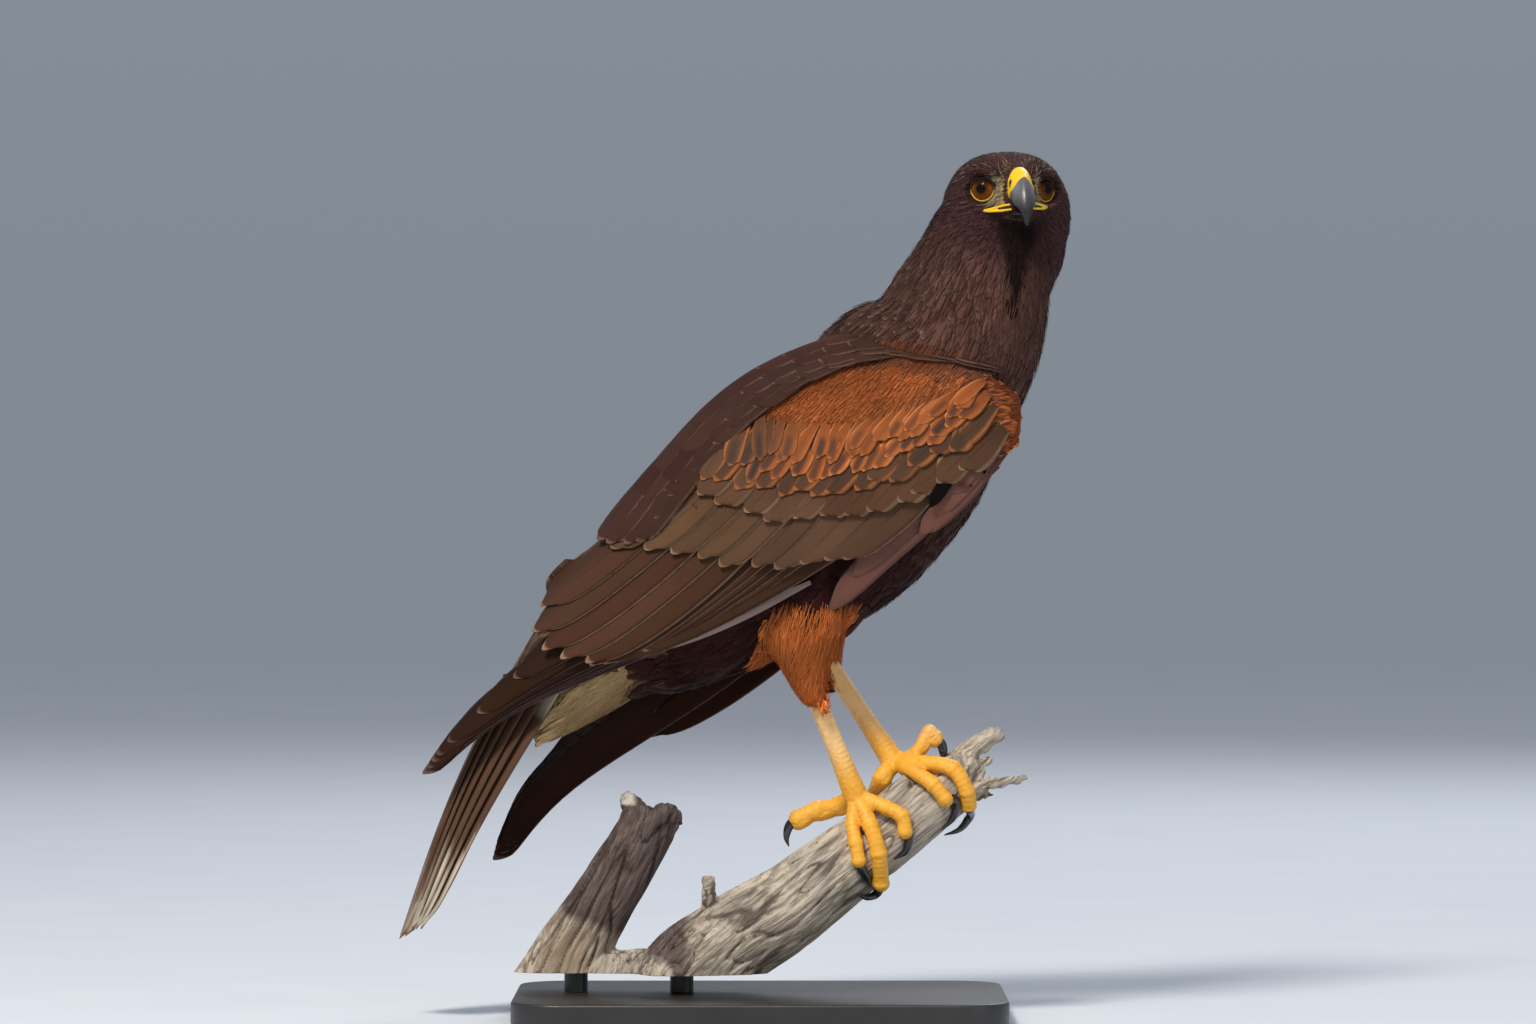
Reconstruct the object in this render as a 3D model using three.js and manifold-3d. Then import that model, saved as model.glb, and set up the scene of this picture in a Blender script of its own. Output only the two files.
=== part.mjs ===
// A Harris's hawk, life size, standing on a cut fork of dead branch that a plain stand holds.
// Millimetres, +Z up. The bird's middle plane is X-Z, its breast points to +X, its right side to -Y,
// and its head is turned to look along -Y. The origin is under the middle of the stand, on the floor.
import * as THREE from "three";
import { mergeVertices } from "three/addons/utils/BufferGeometryUtils.js";
import Module from "manifold-3d";

const wasm = await Module();
wasm.setup();

// Driving sizes
const GAP = 0.35; // clearance that neighbouring pieces keep
const VANE_THICK = 0.8; // a flight feather at its shaft
const BASE = { long: 250, deep: 170, thick: 12, corner: 26, middle: -4 };
const ROD = { radius: 6, from: 12.3, to: 22, places: [-98, -44], y: 4 };
const PERCH_CUT = 22.3; // height of the sawn underside of the perch
const EYE = { radius: 8, forward: 12.2, side: 14.6, up: 3, turn: 33 };
const HEAD = { at: [122.4, 2, 418], turn: 10 }; // middle of the skull, and degrees to the bird's left
const SIDES = { right: -1, left: 1 };

const { clamp, lerp, degToRad } = THREE.MathUtils;
const v3 = (x, y, z) => new THREE.Vector3(x, y, z);

// Curves and closed shapes

// A smooth function through [x, y] pairs.
function through(...pairs) {
  const last = pairs.length - 1;
  const slope = (k) => {
    const a = pairs[Math.max(k - 1, 0)];
    const b = pairs[Math.min(k + 1, last)];
    return (b[1] - a[1]) / (b[0] - a[0]);
  };
  return (x) => {
    const c = clamp(x, pairs[0][0], pairs[last][0]);
    let i = 0;
    while (i < last - 1 && c > pairs[i + 1][0]) i++;
    const step = pairs[i + 1][0] - pairs[i][0];
    const t = (c - pairs[i][0]) / step;
    const rise = (1 - t) ** 2 * t * slope(i) * step - (1 - t) * t ** 2 * slope(i + 1) * step;
    return pairs[i][1] + (pairs[i + 1][1] - pairs[i][1]) * t * t * (3 - 2 * t) + rise;
  };
}

// A geometry from points and triangles, turned so that its faces point outwards.
function closed(points, triangles) {
  let volume = 0;
  for (const [a, b, c] of triangles) {
    volume += points[a].dot(v3(0, 0, 0).crossVectors(points[b], points[c]));
  }
  const faces = volume < 0 ? triangles.map(([a, b, c]) => [a, c, b]) : triangles;
  const geometry = new THREE.BufferGeometry().setFromPoints(points);
  geometry.setIndex(faces.flat());
  return geometry;
}

// Rings of equal count joined into one body, with a fan over each end.
function loft(rings) {
  const n = rings[0].length;
  const points = rings.flat();
  const triangles = [];
  for (let r = 0; r + 1 < rings.length; r++) {
    for (let k = 0; k < n; k++) {
      const a = r * n + k;
      const b = r * n + ((k + 1) % n);
      triangles.push([a, b, b + n], [a, b + n, a + n]);
    }
  }
  for (const [ring, first] of [[rings[0], 0], [rings.at(-1), (rings.length - 1) * n]]) {
    const middle = points.length;
    points.push(ring.reduce((sum, p) => sum.add(p), v3(0, 0, 0)).divideScalar(n));
    for (let k = 0; k < n; k++) {
      const next = first + ((k + 1) % n);
      triangles.push(first ? [middle, first + k, next] : [middle, next, first + k]);
    }
  }
  return closed(points, triangles);
}

// A round limb through points, with a radius at each and a section of a few sides.
function limb(points, radii, steps, sides, grow = 0) {
  const curve = new THREE.CatmullRomCurve3(points, false, "centripetal");
  const radius = through(...radii.map((r, i) => [i / (radii.length - 1), r]));
  const frames = curve.computeFrenetFrames(steps, false);
  const rings = [];
  for (let i = 0; i <= steps; i++) {
    const t = i / steps;
    const end = i === 0 ? -grow : i === steps ? grow : 0;
    const centre = curve.getPoint(t).addScaledVector(frames.tangents[i], end);
    const ring = [];
    for (let k = 0; k < sides; k++) {
      const a = (2 * Math.PI * k) / sides;
      ring.push(
        centre
          .clone()
          .addScaledVector(frames.normals[i], Math.cos(a) * (radius(t) + grow))
          .addScaledVector(frames.binormals[i], Math.sin(a) * (radius(t) + grow)),
      );
    }
    rings.push(ring);
  }
  return loft(rings);
}

// Solids, joined and cut

function solid(geometry) {
  const bare = new THREE.BufferGeometry().setAttribute("position", geometry.getAttribute("position"));
  if (geometry.index) bare.setIndex(geometry.index);
  const merged = mergeVertices(bare, 1e-4);
  return new wasm.Manifold(
    new wasm.Mesh({
      numProp: 3,
      vertProperties: new Float32Array(merged.attributes.position.array),
      triVerts: new Uint32Array(merged.index.array),
    }),
  );
}

const join = (...pieces) => pieces.flat().reduce((all, piece) => all.add(piece));
const cut = (piece, ...tools) => tools.flat().reduce((rest, tool) => rest.subtract(tool), piece);

function largest(piece) {
  return piece.decompose().sort((a, b) => b.volume() - a.volume())[0];
}

function geometryOf(piece) {
  const { numProp, numVert, vertProperties, triVerts } = piece.getMesh();
  const places = new Float32Array(numVert * 3);
  for (let i = 0; i < numVert; i++) {
    places.set(vertProperties.subarray(i * numProp, i * numProp + 3), i * 3);
  }
  const geometry = new THREE.BufferGeometry();
  geometry.setAttribute("position", new THREE.BufferAttribute(places, 3));
  geometry.setIndex(new THREE.BufferAttribute(triVerts, 1));
  return geometry;
}

function block(wide, deep, tall, x, y, z, tilt = 0) {
  const geometry = new THREE.BoxGeometry(wide, deep, tall);
  geometry.rotateY(tilt);
  return solid(geometry.translate(x, y, z));
}

function ball(centre, radius, sides = 18) {
  const geometry = new THREE.SphereGeometry(radius, sides, Math.round(sides * 0.6));
  return solid(geometry.translate(centre.x, centre.y, centre.z));
}

// Torso and neck: one egg-shaped form along the spine, from the skull to the root of the tail.
// Each station is [x, z, half depth from back to breast, half width].
const SPINE = [
  [122, 412, 30, 24],
  [118.5, 399, 35, 28],
  [110.5, 382, 37.5, 34],
  [104, 363.5, 41.5, 38],
  [92.5, 339, 46.5, 42],
  [73, 317, 55, 45],
  [54.5, 289.5, 60.5, 47],
  [31, 267.5, 64.5, 47],
  [5, 243, 59.5, 45],
  [-23, 217.5, 45, 39],
  [-49, 196, 30, 31],
  [-68, 178.5, 18, 22],
  [-79, 167, 9, 13],
];
const NECK_STATIONS = 3.4; // stations of the spine that are neck

function spineRings(grow, rings = 30, sides = 22) {
  const last = SPINE.length - 1;
  const read = [0, 1, 2, 3].map((column) => through(...SPINE.map((row, i) => [i, row[column]])));
  const made = [];
  for (let r = 0; r <= rings; r++) {
    const t = (r / rings) * last;
    const ahead = Math.min(t + 0.2, last);
    const behind = Math.max(t - 0.2, 0);
    const along = v3(read[0](ahead) - read[0](behind), 0, read[1](ahead) - read[1](behind)).normalize();
    const back = v3(along.z, 0, -along.x);
    const centre = v3(read[0](t), 0, read[1](t));
    if (r === 0 || r === rings) centre.addScaledVector(along, r ? grow : -grow);
    const ring = [];
    for (let k = 0; k < sides; k++) {
      const a = (2 * Math.PI * k) / sides;
      ring.push(
        centre
          .clone()
          .addScaledVector(back, Math.cos(a) * (read[2](t) + grow))
          .add(v3(0, Math.sin(a) * (read[3](t) + grow), 0)),
      );
    }
    made.push(ring);
  }
  return made;
}

// The cut between neck and torso, square to the spine: a slab, or all that lies on one side of it.
function neckPlane(thick, reach) {
  const [low, high] = [SPINE[3], SPINE[4]];
  const t = NECK_STATIONS - 3;
  const tilt = Math.atan2(low[0] - high[0], low[1] - high[1]);
  const along = v3(Math.sin(tilt), 0, Math.cos(tilt)).multiplyScalar(reach);
  return block(260, 260, thick, lerp(low[0], high[0], t) + along.x, 0, lerp(low[1], high[1], t) + along.z, tilt);
}

// Head: forms are set out along the bill's direction (f), to the bird's left (l) and up (u).
const headAxes = new THREE.Matrix4().makeBasis(
  v3(Math.sin(degToRad(HEAD.turn)), -Math.cos(degToRad(HEAD.turn)), 0),
  v3(Math.cos(degToRad(HEAD.turn)), Math.sin(degToRad(HEAD.turn)), 0),
  v3(0, 0, 1),
);
const onHead = (f, l, u) => v3(f, l, u).applyMatrix4(headAxes).add(v3(...HEAD.at));

// Stations from the nape to the cere: [f, half width, top, bottom].
const SKULL = [
  [-37, 5, 8, -5],
  [-34.5, 14, 14, -12],
  [-28, 23.5, 19.5, -23],
  [-16, 29.5, 22.5, -31],
  [-3, 31, 23, -34],
  [7, 29.6, 22, -31],
  [14, 26.4, 20, -26],
  [20, 21, 17.8, -20.5],
  [25, 15, 15.8, -16.5],
  [29, 10.4, 14, -13.6],
  [32, 7.6, 12.4, -11.6],
];

function skull(grow) {
  const rings = [];
  const sides = 22;
  for (const [f, wide, top, bottom] of SKULL) {
    const push = f === SKULL[0][0] ? -grow : f === SKULL.at(-1)[0] ? grow : 0;
    const ring = [];
    for (let k = 0; k < sides; k++) {
      const a = (2 * Math.PI * k) / sides;
      const middle = (top + bottom) / 2;
      const squarer = (x) => Math.sign(x) * Math.abs(x) ** 0.9;
      ring.push(
        onHead(
          f + push,
          squarer(Math.cos(a)) * (wide + grow),
          middle + squarer(Math.sin(a)) * ((top - bottom) / 2 + grow),
        ),
      );
    }
    rings.push(ring);
  }
  return solid(loft(rings));
}

const eyeCentre = (side) => onHead(EYE.forward, EYE.side * side, EYE.up);
const eyeLine = (side) => {
  const turn = degToRad(EYE.turn);
  return onHead(Math.cos(turn), Math.sin(turn) * side, 0).sub(onHead(0, 0, 0));
};

// A lid is part of a ring round the eye, from one angle to another; 0 degrees is towards the nape, 90 up.
function lid(side, from, to, ring, ahead, thick) {
  const out = eyeLine(side);
  const up = v3(0, 0, 1);
  const rear = v3(0, 0, 0).crossVectors(out, up).multiplyScalar(side);
  const centre = eyeCentre(side).addScaledVector(out, ahead);
  const points = [];
  for (let i = 0; i <= 6; i++) {
    const a = degToRad(lerp(from, to, i / 6));
    points.push(
      centre
        .clone()
        .addScaledVector(rear, Math.cos(a) * ring)
        .addScaledVector(up, Math.sin(a) * ring),
    );
  }
  return solid(limb(points, [thick * 0.6, thick, thick, thick * 0.6], 8, 6));
}

function brow(side) {
  const points = [
    [25, 8.5, 9.6],
    [20.5, 17.5, 11.4],
    [12, 24.6, 12],
    [2, 28, 10],
  ].map(([f, l, u]) => onHead(f, l * side, u));
  return solid(limb(points, [1.6, 3.1, 3.4, 1.6], 7, 8));
}

// Bill and cere share one profile: [t, crest f, crest u, edge f, edge u, half width].
const BILL = [
  [-0.3, 23, 15, 21, -9, 11.4],
  [0, 31.5, 14.4, 29.5, -7.4, 8.6],
  [0.12, 36, 11.8, 33.5, -7.2, 7.1],
  [0.3, 41.2, 7.8, 38, -7.4, 6.2],
  [0.5, 45.6, 2, 41.6, -7.8, 5.1],
  [0.7, 48.4, -4.4, 44.6, -8.8, 3.8],
  [0.86, 49.2, -10, 46.6, -11.4, 2.3],
  [1, 48.2, -16.4, 47.4, -15.6, 0.7],
];
const CERE_END = 0.12;

function billBody(from, to, rings, grow = 0) {
  const read = [1, 2, 3, 4, 5].map((column) => through(...BILL.map((row) => [row[0], row[column]])));
  const made = [];
  for (let r = 0; r <= rings; r++) {
    const t = lerp(from, to, r / rings);
    const [cf, cu, ef, eu, wide] = read.map((value) => value(t));
    const ring = [];
    for (let k = 0; k < 14; k++) {
      const a = (2 * Math.PI * k) / 14;
      const up = Math.cos(a) * (0.5 + grow / Math.hypot(cf - ef, cu - eu));
      // The bill is widest low down, over its cutting edges.
      const side = Math.sin(a) * (wide + grow) * (1 - 0.16 * Math.cos(a));
      ring.push(onHead(lerp(ef, cf, 0.5 + up), side, lerp(eu, cu, 0.5 + up)));
    }
    made.push(ring);
  }
  return solid(loft(made));
}

function lip(side, grow = 0) {
  const points = [
    [10.5, 18.6, -8.6],
    [18, 17.6, -8.2],
    [26, 11.6, -7.6],
    [33, 6.4, -7],
  ].map(([f, l, u]) => onHead(f, l * side, u));
  return solid(limb(points, [1.3, 1.5, 1.7, 1.4], 6, 6, grow));
}

function lowerBill(grow = 0) {
  // [f, half width, top, bottom]
  const stations = [
    [22, 9, -10.2, -15.5],
    [31, 6.8, -8.6, -14.6],
    [38, 5.4, -8.6, -13.6],
    [43, 3.6, -9.4, -12.6],
    [45.2, 1.4, -10.2, -11.8],
  ];
  const rings = stations.map(([f, wide, top, bottom], i) => {
    const end = i === 0 ? -grow : i === stations.length - 1 ? grow : 0;
    const ring = [];
    for (let k = 0; k < 12; k++) {
      const a = (2 * Math.PI * k) / 12;
      ring.push(
        onHead(
          f + end,
          Math.cos(a) * (wide + grow),
          (top + bottom) / 2 + Math.sin(a) * ((top - bottom) / 2 + grow),
        ),
      );
    }
    return ring;
  });
  return solid(loft(rings));
}

// Feathers: a vane is a thin bent blade laid on a curved surface. place(u, v, lift) gives a point of
// that surface in 3-D; u runs along the wing or tail, v across it, and lift stands off it.

// Stations of a vane: [share of its length, share of its half width].
const LONG_VANE = [[0, 0.45], [0.22, 0.85], [0.46, 1], [0.68, 1], [0.85, 0.82], [0.95, 0.5], [1, 0.14]];
const POINTED_VANE = [[0, 0.5], [0.25, 0.9], [0.5, 1], [0.72, 0.8], [0.88, 0.5], [0.97, 0.24], [1, 0.08]];
const SHORT_VANE = [[0, 0.6], [0.4, 1], [0.75, 1], [0.93, 0.64], [1, 0.2]];

function vane(place, { root, tip, half, shape, lift, slope = 0, bow = 0, thick = VANE_THICK }) {
  const along = new THREE.Vector2(tip[0] - root[0], tip[1] - root[1]);
  const length = along.length();
  const across = new THREE.Vector2(-along.y, along.x).divideScalar(length);
  const rows = shape.map(([s, width]) => {
    const bend = bow * Math.sin(Math.PI * s ** 1.3);
    const u = lerp(root[0], tip[0], s) + across.x * bend;
    const v = lerp(root[1], tip[1], s) + across.y * bend;
    const wide = half * width;
    const deep = thick * lerp(1, 0.6, s);
    const at = (share) => {
      const off = share * wide;
      const level = lift(s) + slope * off * across.y;
      const spot = [u + across.x * off, v + across.y * off];
      return [place(...spot, level + deep / 2), place(...spot, level - deep / 2)];
    };
    return [at(-1), at(1)];
  });
  // Four points a row: over and under the low edge, then over and under the high edge.
  const points = rows.flat(2);
  const triangles = [];
  const quad = (a, b, c, d) => triangles.push([a, b, c], [a, c, d]);
  for (let r = 0; r + 1 < rows.length; r++) {
    const [a, b] = [4 * r, 4 * r + 4];
    quad(a, a + 2, b + 2, b);
    // the same diagonal on the underside, with the faces turned round
    triangles.push([a + 1, b + 3, a + 3], [a + 1, b + 1, b + 3]);
    quad(a + 1, a, b, b + 1);
    quad(a + 2, a + 3, b + 3, b + 2);
  }
  const end = 4 * (rows.length - 1);
  quad(0, 1, 3, 2);
  quad(end + 2, end + 3, end + 1, end);
  return solid(closed(points, triangles));
}

// Wings: each is laid out flat, u from the wrist towards the tip and v up towards the back, and
// wrapped round the body. wide() is how far the wing stands from the bird's middle plane.
const WING = {
  right: { wrist: [131, 306.5], droop: 30.6, tipOut: 25 },
  left: { wrist: [110, 300], droop: 41, tipOut: 41 },
};
const backEdge = through([-14, 22], [0, 38], [25, 64], [60, 84], [120, 91], [188, 73], [249, 51], [290, 38], [357, 20]);
const middleLine = through([-14, 8], [20, 14], [120, 16], [250, 10], [357, -4]);

function wingPlace(name) {
  const { wrist, droop, tipOut } = WING[name];
  const a = degToRad(droop);
  const along = [-Math.cos(a), -Math.sin(a)];
  const across = [-Math.sin(a), Math.cos(a)];
  const wide = through([-14, 35], [0, 46], [22, 55], [60, 60.5], [120, 60.5], [180, 55], [240, 47], [300, lerp(47, tipOut, 0.55)], [357, tipOut]);
  const surface = (u, v) => {
    const s = (v - middleLine(u)) / (backEdge(u) - middleLine(u));
    const turned = s > 0 ? Math.sqrt(Math.max(1 - 0.93 * s * s, 0.05)) : 1 - 0.14 * ((middleLine(u) - v) / 45) ** 2;
    return v3(
      wrist[0] + u * along[0] + v * across[0],
      SIDES[name] * wide(u) * turned,
      wrist[1] + u * along[1] + v * across[1],
    );
  };
  return (u, v, lift) => {
    const du = surface(u + 1, v).sub(surface(u - 1, v));
    const dv = surface(u, v + 1).sub(surface(u, v - 1));
    const out = v3(0, 0, 0).crossVectors(du, dv).normalize();
    if (out.y * SIDES[name] < 0) out.negate();
    return surface(u, v).addScaledVector(out, lift);
  };
}

// The arm under the small rufous coverts: a lens from the wrist back to the elbow.
function arm(place) {
  const low = through([-9, 0], [8, -12], [40, -17], [90, -15], [135, 2], [172, 30]);
  const high = through([-9, 12], [8, 40], [40, 68], [90, 82], [135, 80], [172, 64]);
  const deep = through([-9, 4], [8, 10], [40, 14], [100, 14], [150, 9], [172, 3.5]);
  const rings = [-9, -4, 8, 26, 48, 75, 105, 132, 155, 172].map((u) => {
    const outer = [];
    const inner = [];
    for (let i = 0; i <= 6; i++) {
      const s = i / 6;
      const v = lerp(low(u), high(u), s);
      const belly = Math.sin(Math.PI * clamp(s, 0.06, 0.94)) ** 0.6;
      outer.push(place(u, v, -1.4 - 1.2 * (1 - belly)));
      inner.unshift(place(u, v, -2.4 - deep(u) * belly));
    }
    return [...outer, ...inner];
  });
  return solid(loft(rings));
}

const spread = (count, make) => Array.from({ length: count }, (_, k) => make(k / (count - 1), k));

function wingFeathers(place) {
  const greaterTip = (f) => [lerp(114, 216, f), through([0, -16], [0.45, 5], [1, 52])(f)];
  const medianTip = (f) => [
    through([0, 46], [0.25, 78], [0.5, 113], [0.75, 142], [1, 170])(f),
    through([0, -7], [0.25, -5], [0.5, 6], [0.75, 30], [1, 62])(f),
  ];
  const primaries = spread(5, (f) =>
    vane(place, {
      root: [lerp(70, 118, f), lerp(-12, 4, f)],
      tip: [through([0, 357], [0.4, 338], [1, 284])(f), lerp(0, 27, f)],
      half: lerp(6.5, 9, f),
      shape: POINTED_VANE,
      lift: (s) => lerp(-10, -6.5, s),
      slope: -0.24,
      bow: lerp(-11, -4, f),
    }),
  );
  const secondaries = spread(7, (f) =>
    vane(place, {
      root: [lerp(54, 150, f), lerp(-4, 58, f)],
      tip: [through([0, 252], [0.5, 273], [0.85, 273], [1, 260])(f), lerp(2, 43, f)],
      half: lerp(9, 8, f),
      shape: LONG_VANE,
      lift: through([0, -7.5], [0.4, -5], [1, -2.4]),
      slope: -0.27,
      bow: -3,
    }),
  );
  const greaterCoverts = spread(7, (f) =>
    vane(place, {
      root: [lerp(40, 140, f), lerp(-3, 64, f)],
      tip: greaterTip(f),
      half: 8,
      shape: SHORT_VANE,
      lift: through([0, -5.5], [0.4, -2.6], [1, -0.8]),
      slope: -0.2,
    }),
  );
  const medianCoverts = spread(7, (f) => {
    const tip = medianTip(f);
    return vane(place, {
      root: [tip[0] - 37, tip[1] + 9],
      tip,
      half: 9,
      shape: SHORT_VANE,
      lift: through([0, -4.2], [0.4, -0.4], [1, 0.8]),
      slope: -0.12,
    });
  });
  const primaryCoverts = spread(4, (f) =>
    vane(place, {
      root: [lerp(16, 26, f), lerp(-8, -4, f)],
      tip: [lerp(138, 92, f), lerp(-36, -17, f)],
      half: 5.5,
      shape: SHORT_VANE,
      lift: through([0, -6], [0.3, -5], [1, -4.2]),
      slope: -0.24,
      bow: lerp(4, 1, f),
    }),
  );
  const alula = spread(2, (f) =>
    vane(place, {
      root: [lerp(4, 10, f), lerp(-4, 0, f)],
      tip: [lerp(76, 56, f), lerp(-26, -14, f)],
      half: 5.5,
      shape: SHORT_VANE,
      lift: through([0, -4], [0.3, -2.4], [1, -1.6]),
      slope: -0.2,
    }),
  );
  const scapulars = spread(4, (f, k) =>
    vane(place, {
      root: [lerp(28, 118, f), lerp(66, 80, f)],
      tip: [lerp(84, 176, f), lerp(74, 68, f) - 3 * (k % 2)],
      half: 11,
      shape: SHORT_VANE,
      lift: through([0, -3.5], [0.35, 0], [1, 1.4]),
      slope: -0.06,
    }),
  );
  return [primaries, secondaries, greaterCoverts, medianCoverts, primaryCoverts, alula, scapulars].flat();
}

// Tail: twelve flat feathers stepping down under one another like a roof, the middle pair on top.
const TAIL = { root: [-58, 191], tip: [-186, 38], feathers: 12, half: 9.5 };
const tailLength = Math.hypot(TAIL.tip[0] - TAIL.root[0], TAIL.tip[1] - TAIL.root[1]);

// u runs down the tail, y across it; sink is how far below the middle pair.
function tailPlace(u, y, sink) {
  const along = v3(TAIL.tip[0] - TAIL.root[0], 0, TAIL.tip[1] - TAIL.root[1]).divideScalar(tailLength);
  const up = v3(along.z, 0, -along.x).negate();
  return v3(TAIL.root[0], y, TAIL.root[1]).addScaledVector(along, u).addScaledVector(up, -sink);
}

function tail() {
  const feathers = spread(TAIL.feathers, (f, k) => {
    const step = k - (TAIL.feathers - 1) / 2;
    const rank = Math.abs(step);
    const spacing = (u) => lerp(1.9, 3.7, u / tailLength);
    const sink = (u) => (0.45 * rank * rank + 0.8 * rank + (step < 0 ? 0.6 : 0)) * lerp(0.6, 1, u / tailLength);
    const place = (u, a, lift) =>
      tailPlace(u, spacing(u) * step + a, sink(u) + 0.07 * step * a - lift);
    return vane(place, {
      root: [-4, 0],
      tip: [tailLength - 0.5 * rank * rank, 0],
      half: TAIL.half,
      shape: LONG_VANE,
      lift: () => 0,
    });
  });
  return join(tailRoot(), feathers);
}

// All the room that the tail takes up, as one plain form.
function tailHull(grow) {
  const rings = [-30, 0, 50, 100, 200].map((u) => {
    const spacing = lerp(1.9, 3.7, u / tailLength);
    const level = lerp(0.6, 1, u / tailLength);
    const ring = [];
    for (let k = -4; k <= 4; k++) {
      const y = 8 * k;
      const rank = (Math.abs(y) + TAIL.half) / spacing;
      ring.push(tailPlace(u, y, Math.min(0.45 * rank * rank * level, 36) + 2 + grow));
    }
    for (let k = 4; k >= -4; k--) ring.push(tailPlace(u, 8 * k, -3 - grow));
    return ring;
  });
  return solid(loft(rings));
}

// The fleshy root, which holds the shafts.
function tailRoot(grow = 0) {
  const stations = [[-22, 12, 8, 7], [-4, 17, 8, 11], [16, 21, 7, 10], [34, 16, 7, 5]];
  const rings = stations.map(([u, wide, sink, deep], i) => {
    const end = i === 0 ? -grow : i === stations.length - 1 ? grow : 0;
    const ring = [];
    for (let k = 0; k < 14; k++) {
      const a = (2 * Math.PI * k) / 14;
      ring.push(tailPlace(u + end, Math.cos(a) * (wide + grow), sink + Math.sin(a) * (deep + grow)));
    }
    return ring;
  });
  return solid(loft(rings));
}

// White coverts under the tail: a soft wedge with a few long feathers at its end.
const VENT = { root: [-52, 176], tip: [-124, 134], feathers: 5 };

function ventCoverts() {
  const [x0, z0] = VENT.root;
  const [x1, z1] = VENT.tip;
  const length = Math.hypot(x1 - x0, z1 - z0);
  const along = v3(x1 - x0, 0, z1 - z0).divideScalar(length);
  const down = v3(-along.z, 0, along.x).negate();
  const deep = through([0, 13], [0.3, 12], [0.7, 6.5], [1, 1.4]);
  const wide = through([0, 23], [0.3, 20], [0.7, 13], [1, 4]);
  const place = (u, v, lift) =>
    v3(x0, 0, z0)
      .addScaledVector(along, u)
      .addScaledVector(down, -lift - 0.012 * v * v)
      .add(v3(0, v, 0));
  const rings = [-0.16, 0, 0.2, 0.45, 0.7, 0.86].map((t) => {
    const ring = [];
    for (let k = 0; k < 14; k++) {
      const a = (2 * Math.PI * k) / 14;
      ring.push(place(t * length, Math.cos(a) * wide(t), Math.sin(a) * deep(t)));
    }
    return ring;
  });
  const feathers = spread(VENT.feathers, (f) => {
    const side = lerp(-1, 1, f);
    return vane(place, {
      root: [length * 0.45, side * 8],
      tip: [length * (1.04 - 0.14 * Math.abs(side)), side * 7],
      half: 6,
      shape: SHORT_VANE,
      lift: (s) => lerp(-3, -1.5 - Math.abs(side), s) + 2.4 * (f - 0.5),
    });
  });
  return join(solid(loft(rings)), feathers);
}

// Legs. The picture plane is X-Z; y is set by what the leg grows from and stands on.
const LEG = {
  right: {
    thigh: [[22, 236, 27, 20], [17, 207, 25.5, 19], [15.5, 190, 21.5, 17], [20, 174, 14, 12], [24, 162, 8, 7.6], [26.5, 156, 5.6, 5.4]],
    thighY: -27,
    hub: [48, 112],
    hubY: -11,
  },
  left: {
    thigh: [[34, 240, 26, 20], [33.5, 211, 23, 18], [32.5, 194, 17, 15], [35, 181, 11, 10], [37.5, 171.5, 7, 7], [40, 166.5, 5.4, 5.4]],
    thighY: 27,
    hub: [65, 128.5],
    hubY: 9,
  },
};

function thigh(name, grow = 0) {
  const { thigh: stations, thighY } = LEG[name];
  const read = [0, 1, 2, 3].map((column) => through(...stations.map((row, i) => [i, row[column]])));
  const rings = [];
  const last = stations.length - 1;
  for (let r = 0; r <= 10; r++) {
    const t = (r / 10) * last;
    const y = thighY - SIDES[name] * 1.2 * t;
    const end = r === 0 ? grow : r === 10 ? -grow : 0;
    const ring = [];
    for (let k = 0; k < 16; k++) {
      const a = (2 * Math.PI * k) / 16;
      ring.push(
        v3(
          read[0](t) + Math.cos(a) * (read[2](t) + grow),
          y + Math.sin(a) * (read[3](t) + grow),
          read[1](t) + end - Math.cos(a) * read[2](t) * 0.28,
        ),
      );
    }
    rings.push(ring);
  }
  return solid(loft(rings));
}

const hubOf = (name) => v3(LEG[name].hub[0], LEG[name].hubY, LEG[name].hub[1]);

function tarsus(name, grow = 0) {
  const { thigh: stations, thighY } = LEG[name];
  const [x, z] = stations.at(-1);
  const top = v3(x - 3, thighY - SIDES[name] * 6, z + 12);
  const hub = hubOf(name);
  const down = hub.clone().sub(top).normalize();
  const points = [top, top.clone().lerp(hub, 0.35), top.clone().lerp(hub, 0.8), hub.clone().addScaledVector(down, 1.5)];
  return solid(limb(points, [4.4, 4.4, 4.9, 6.2], 8, 12, grow));
}

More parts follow.
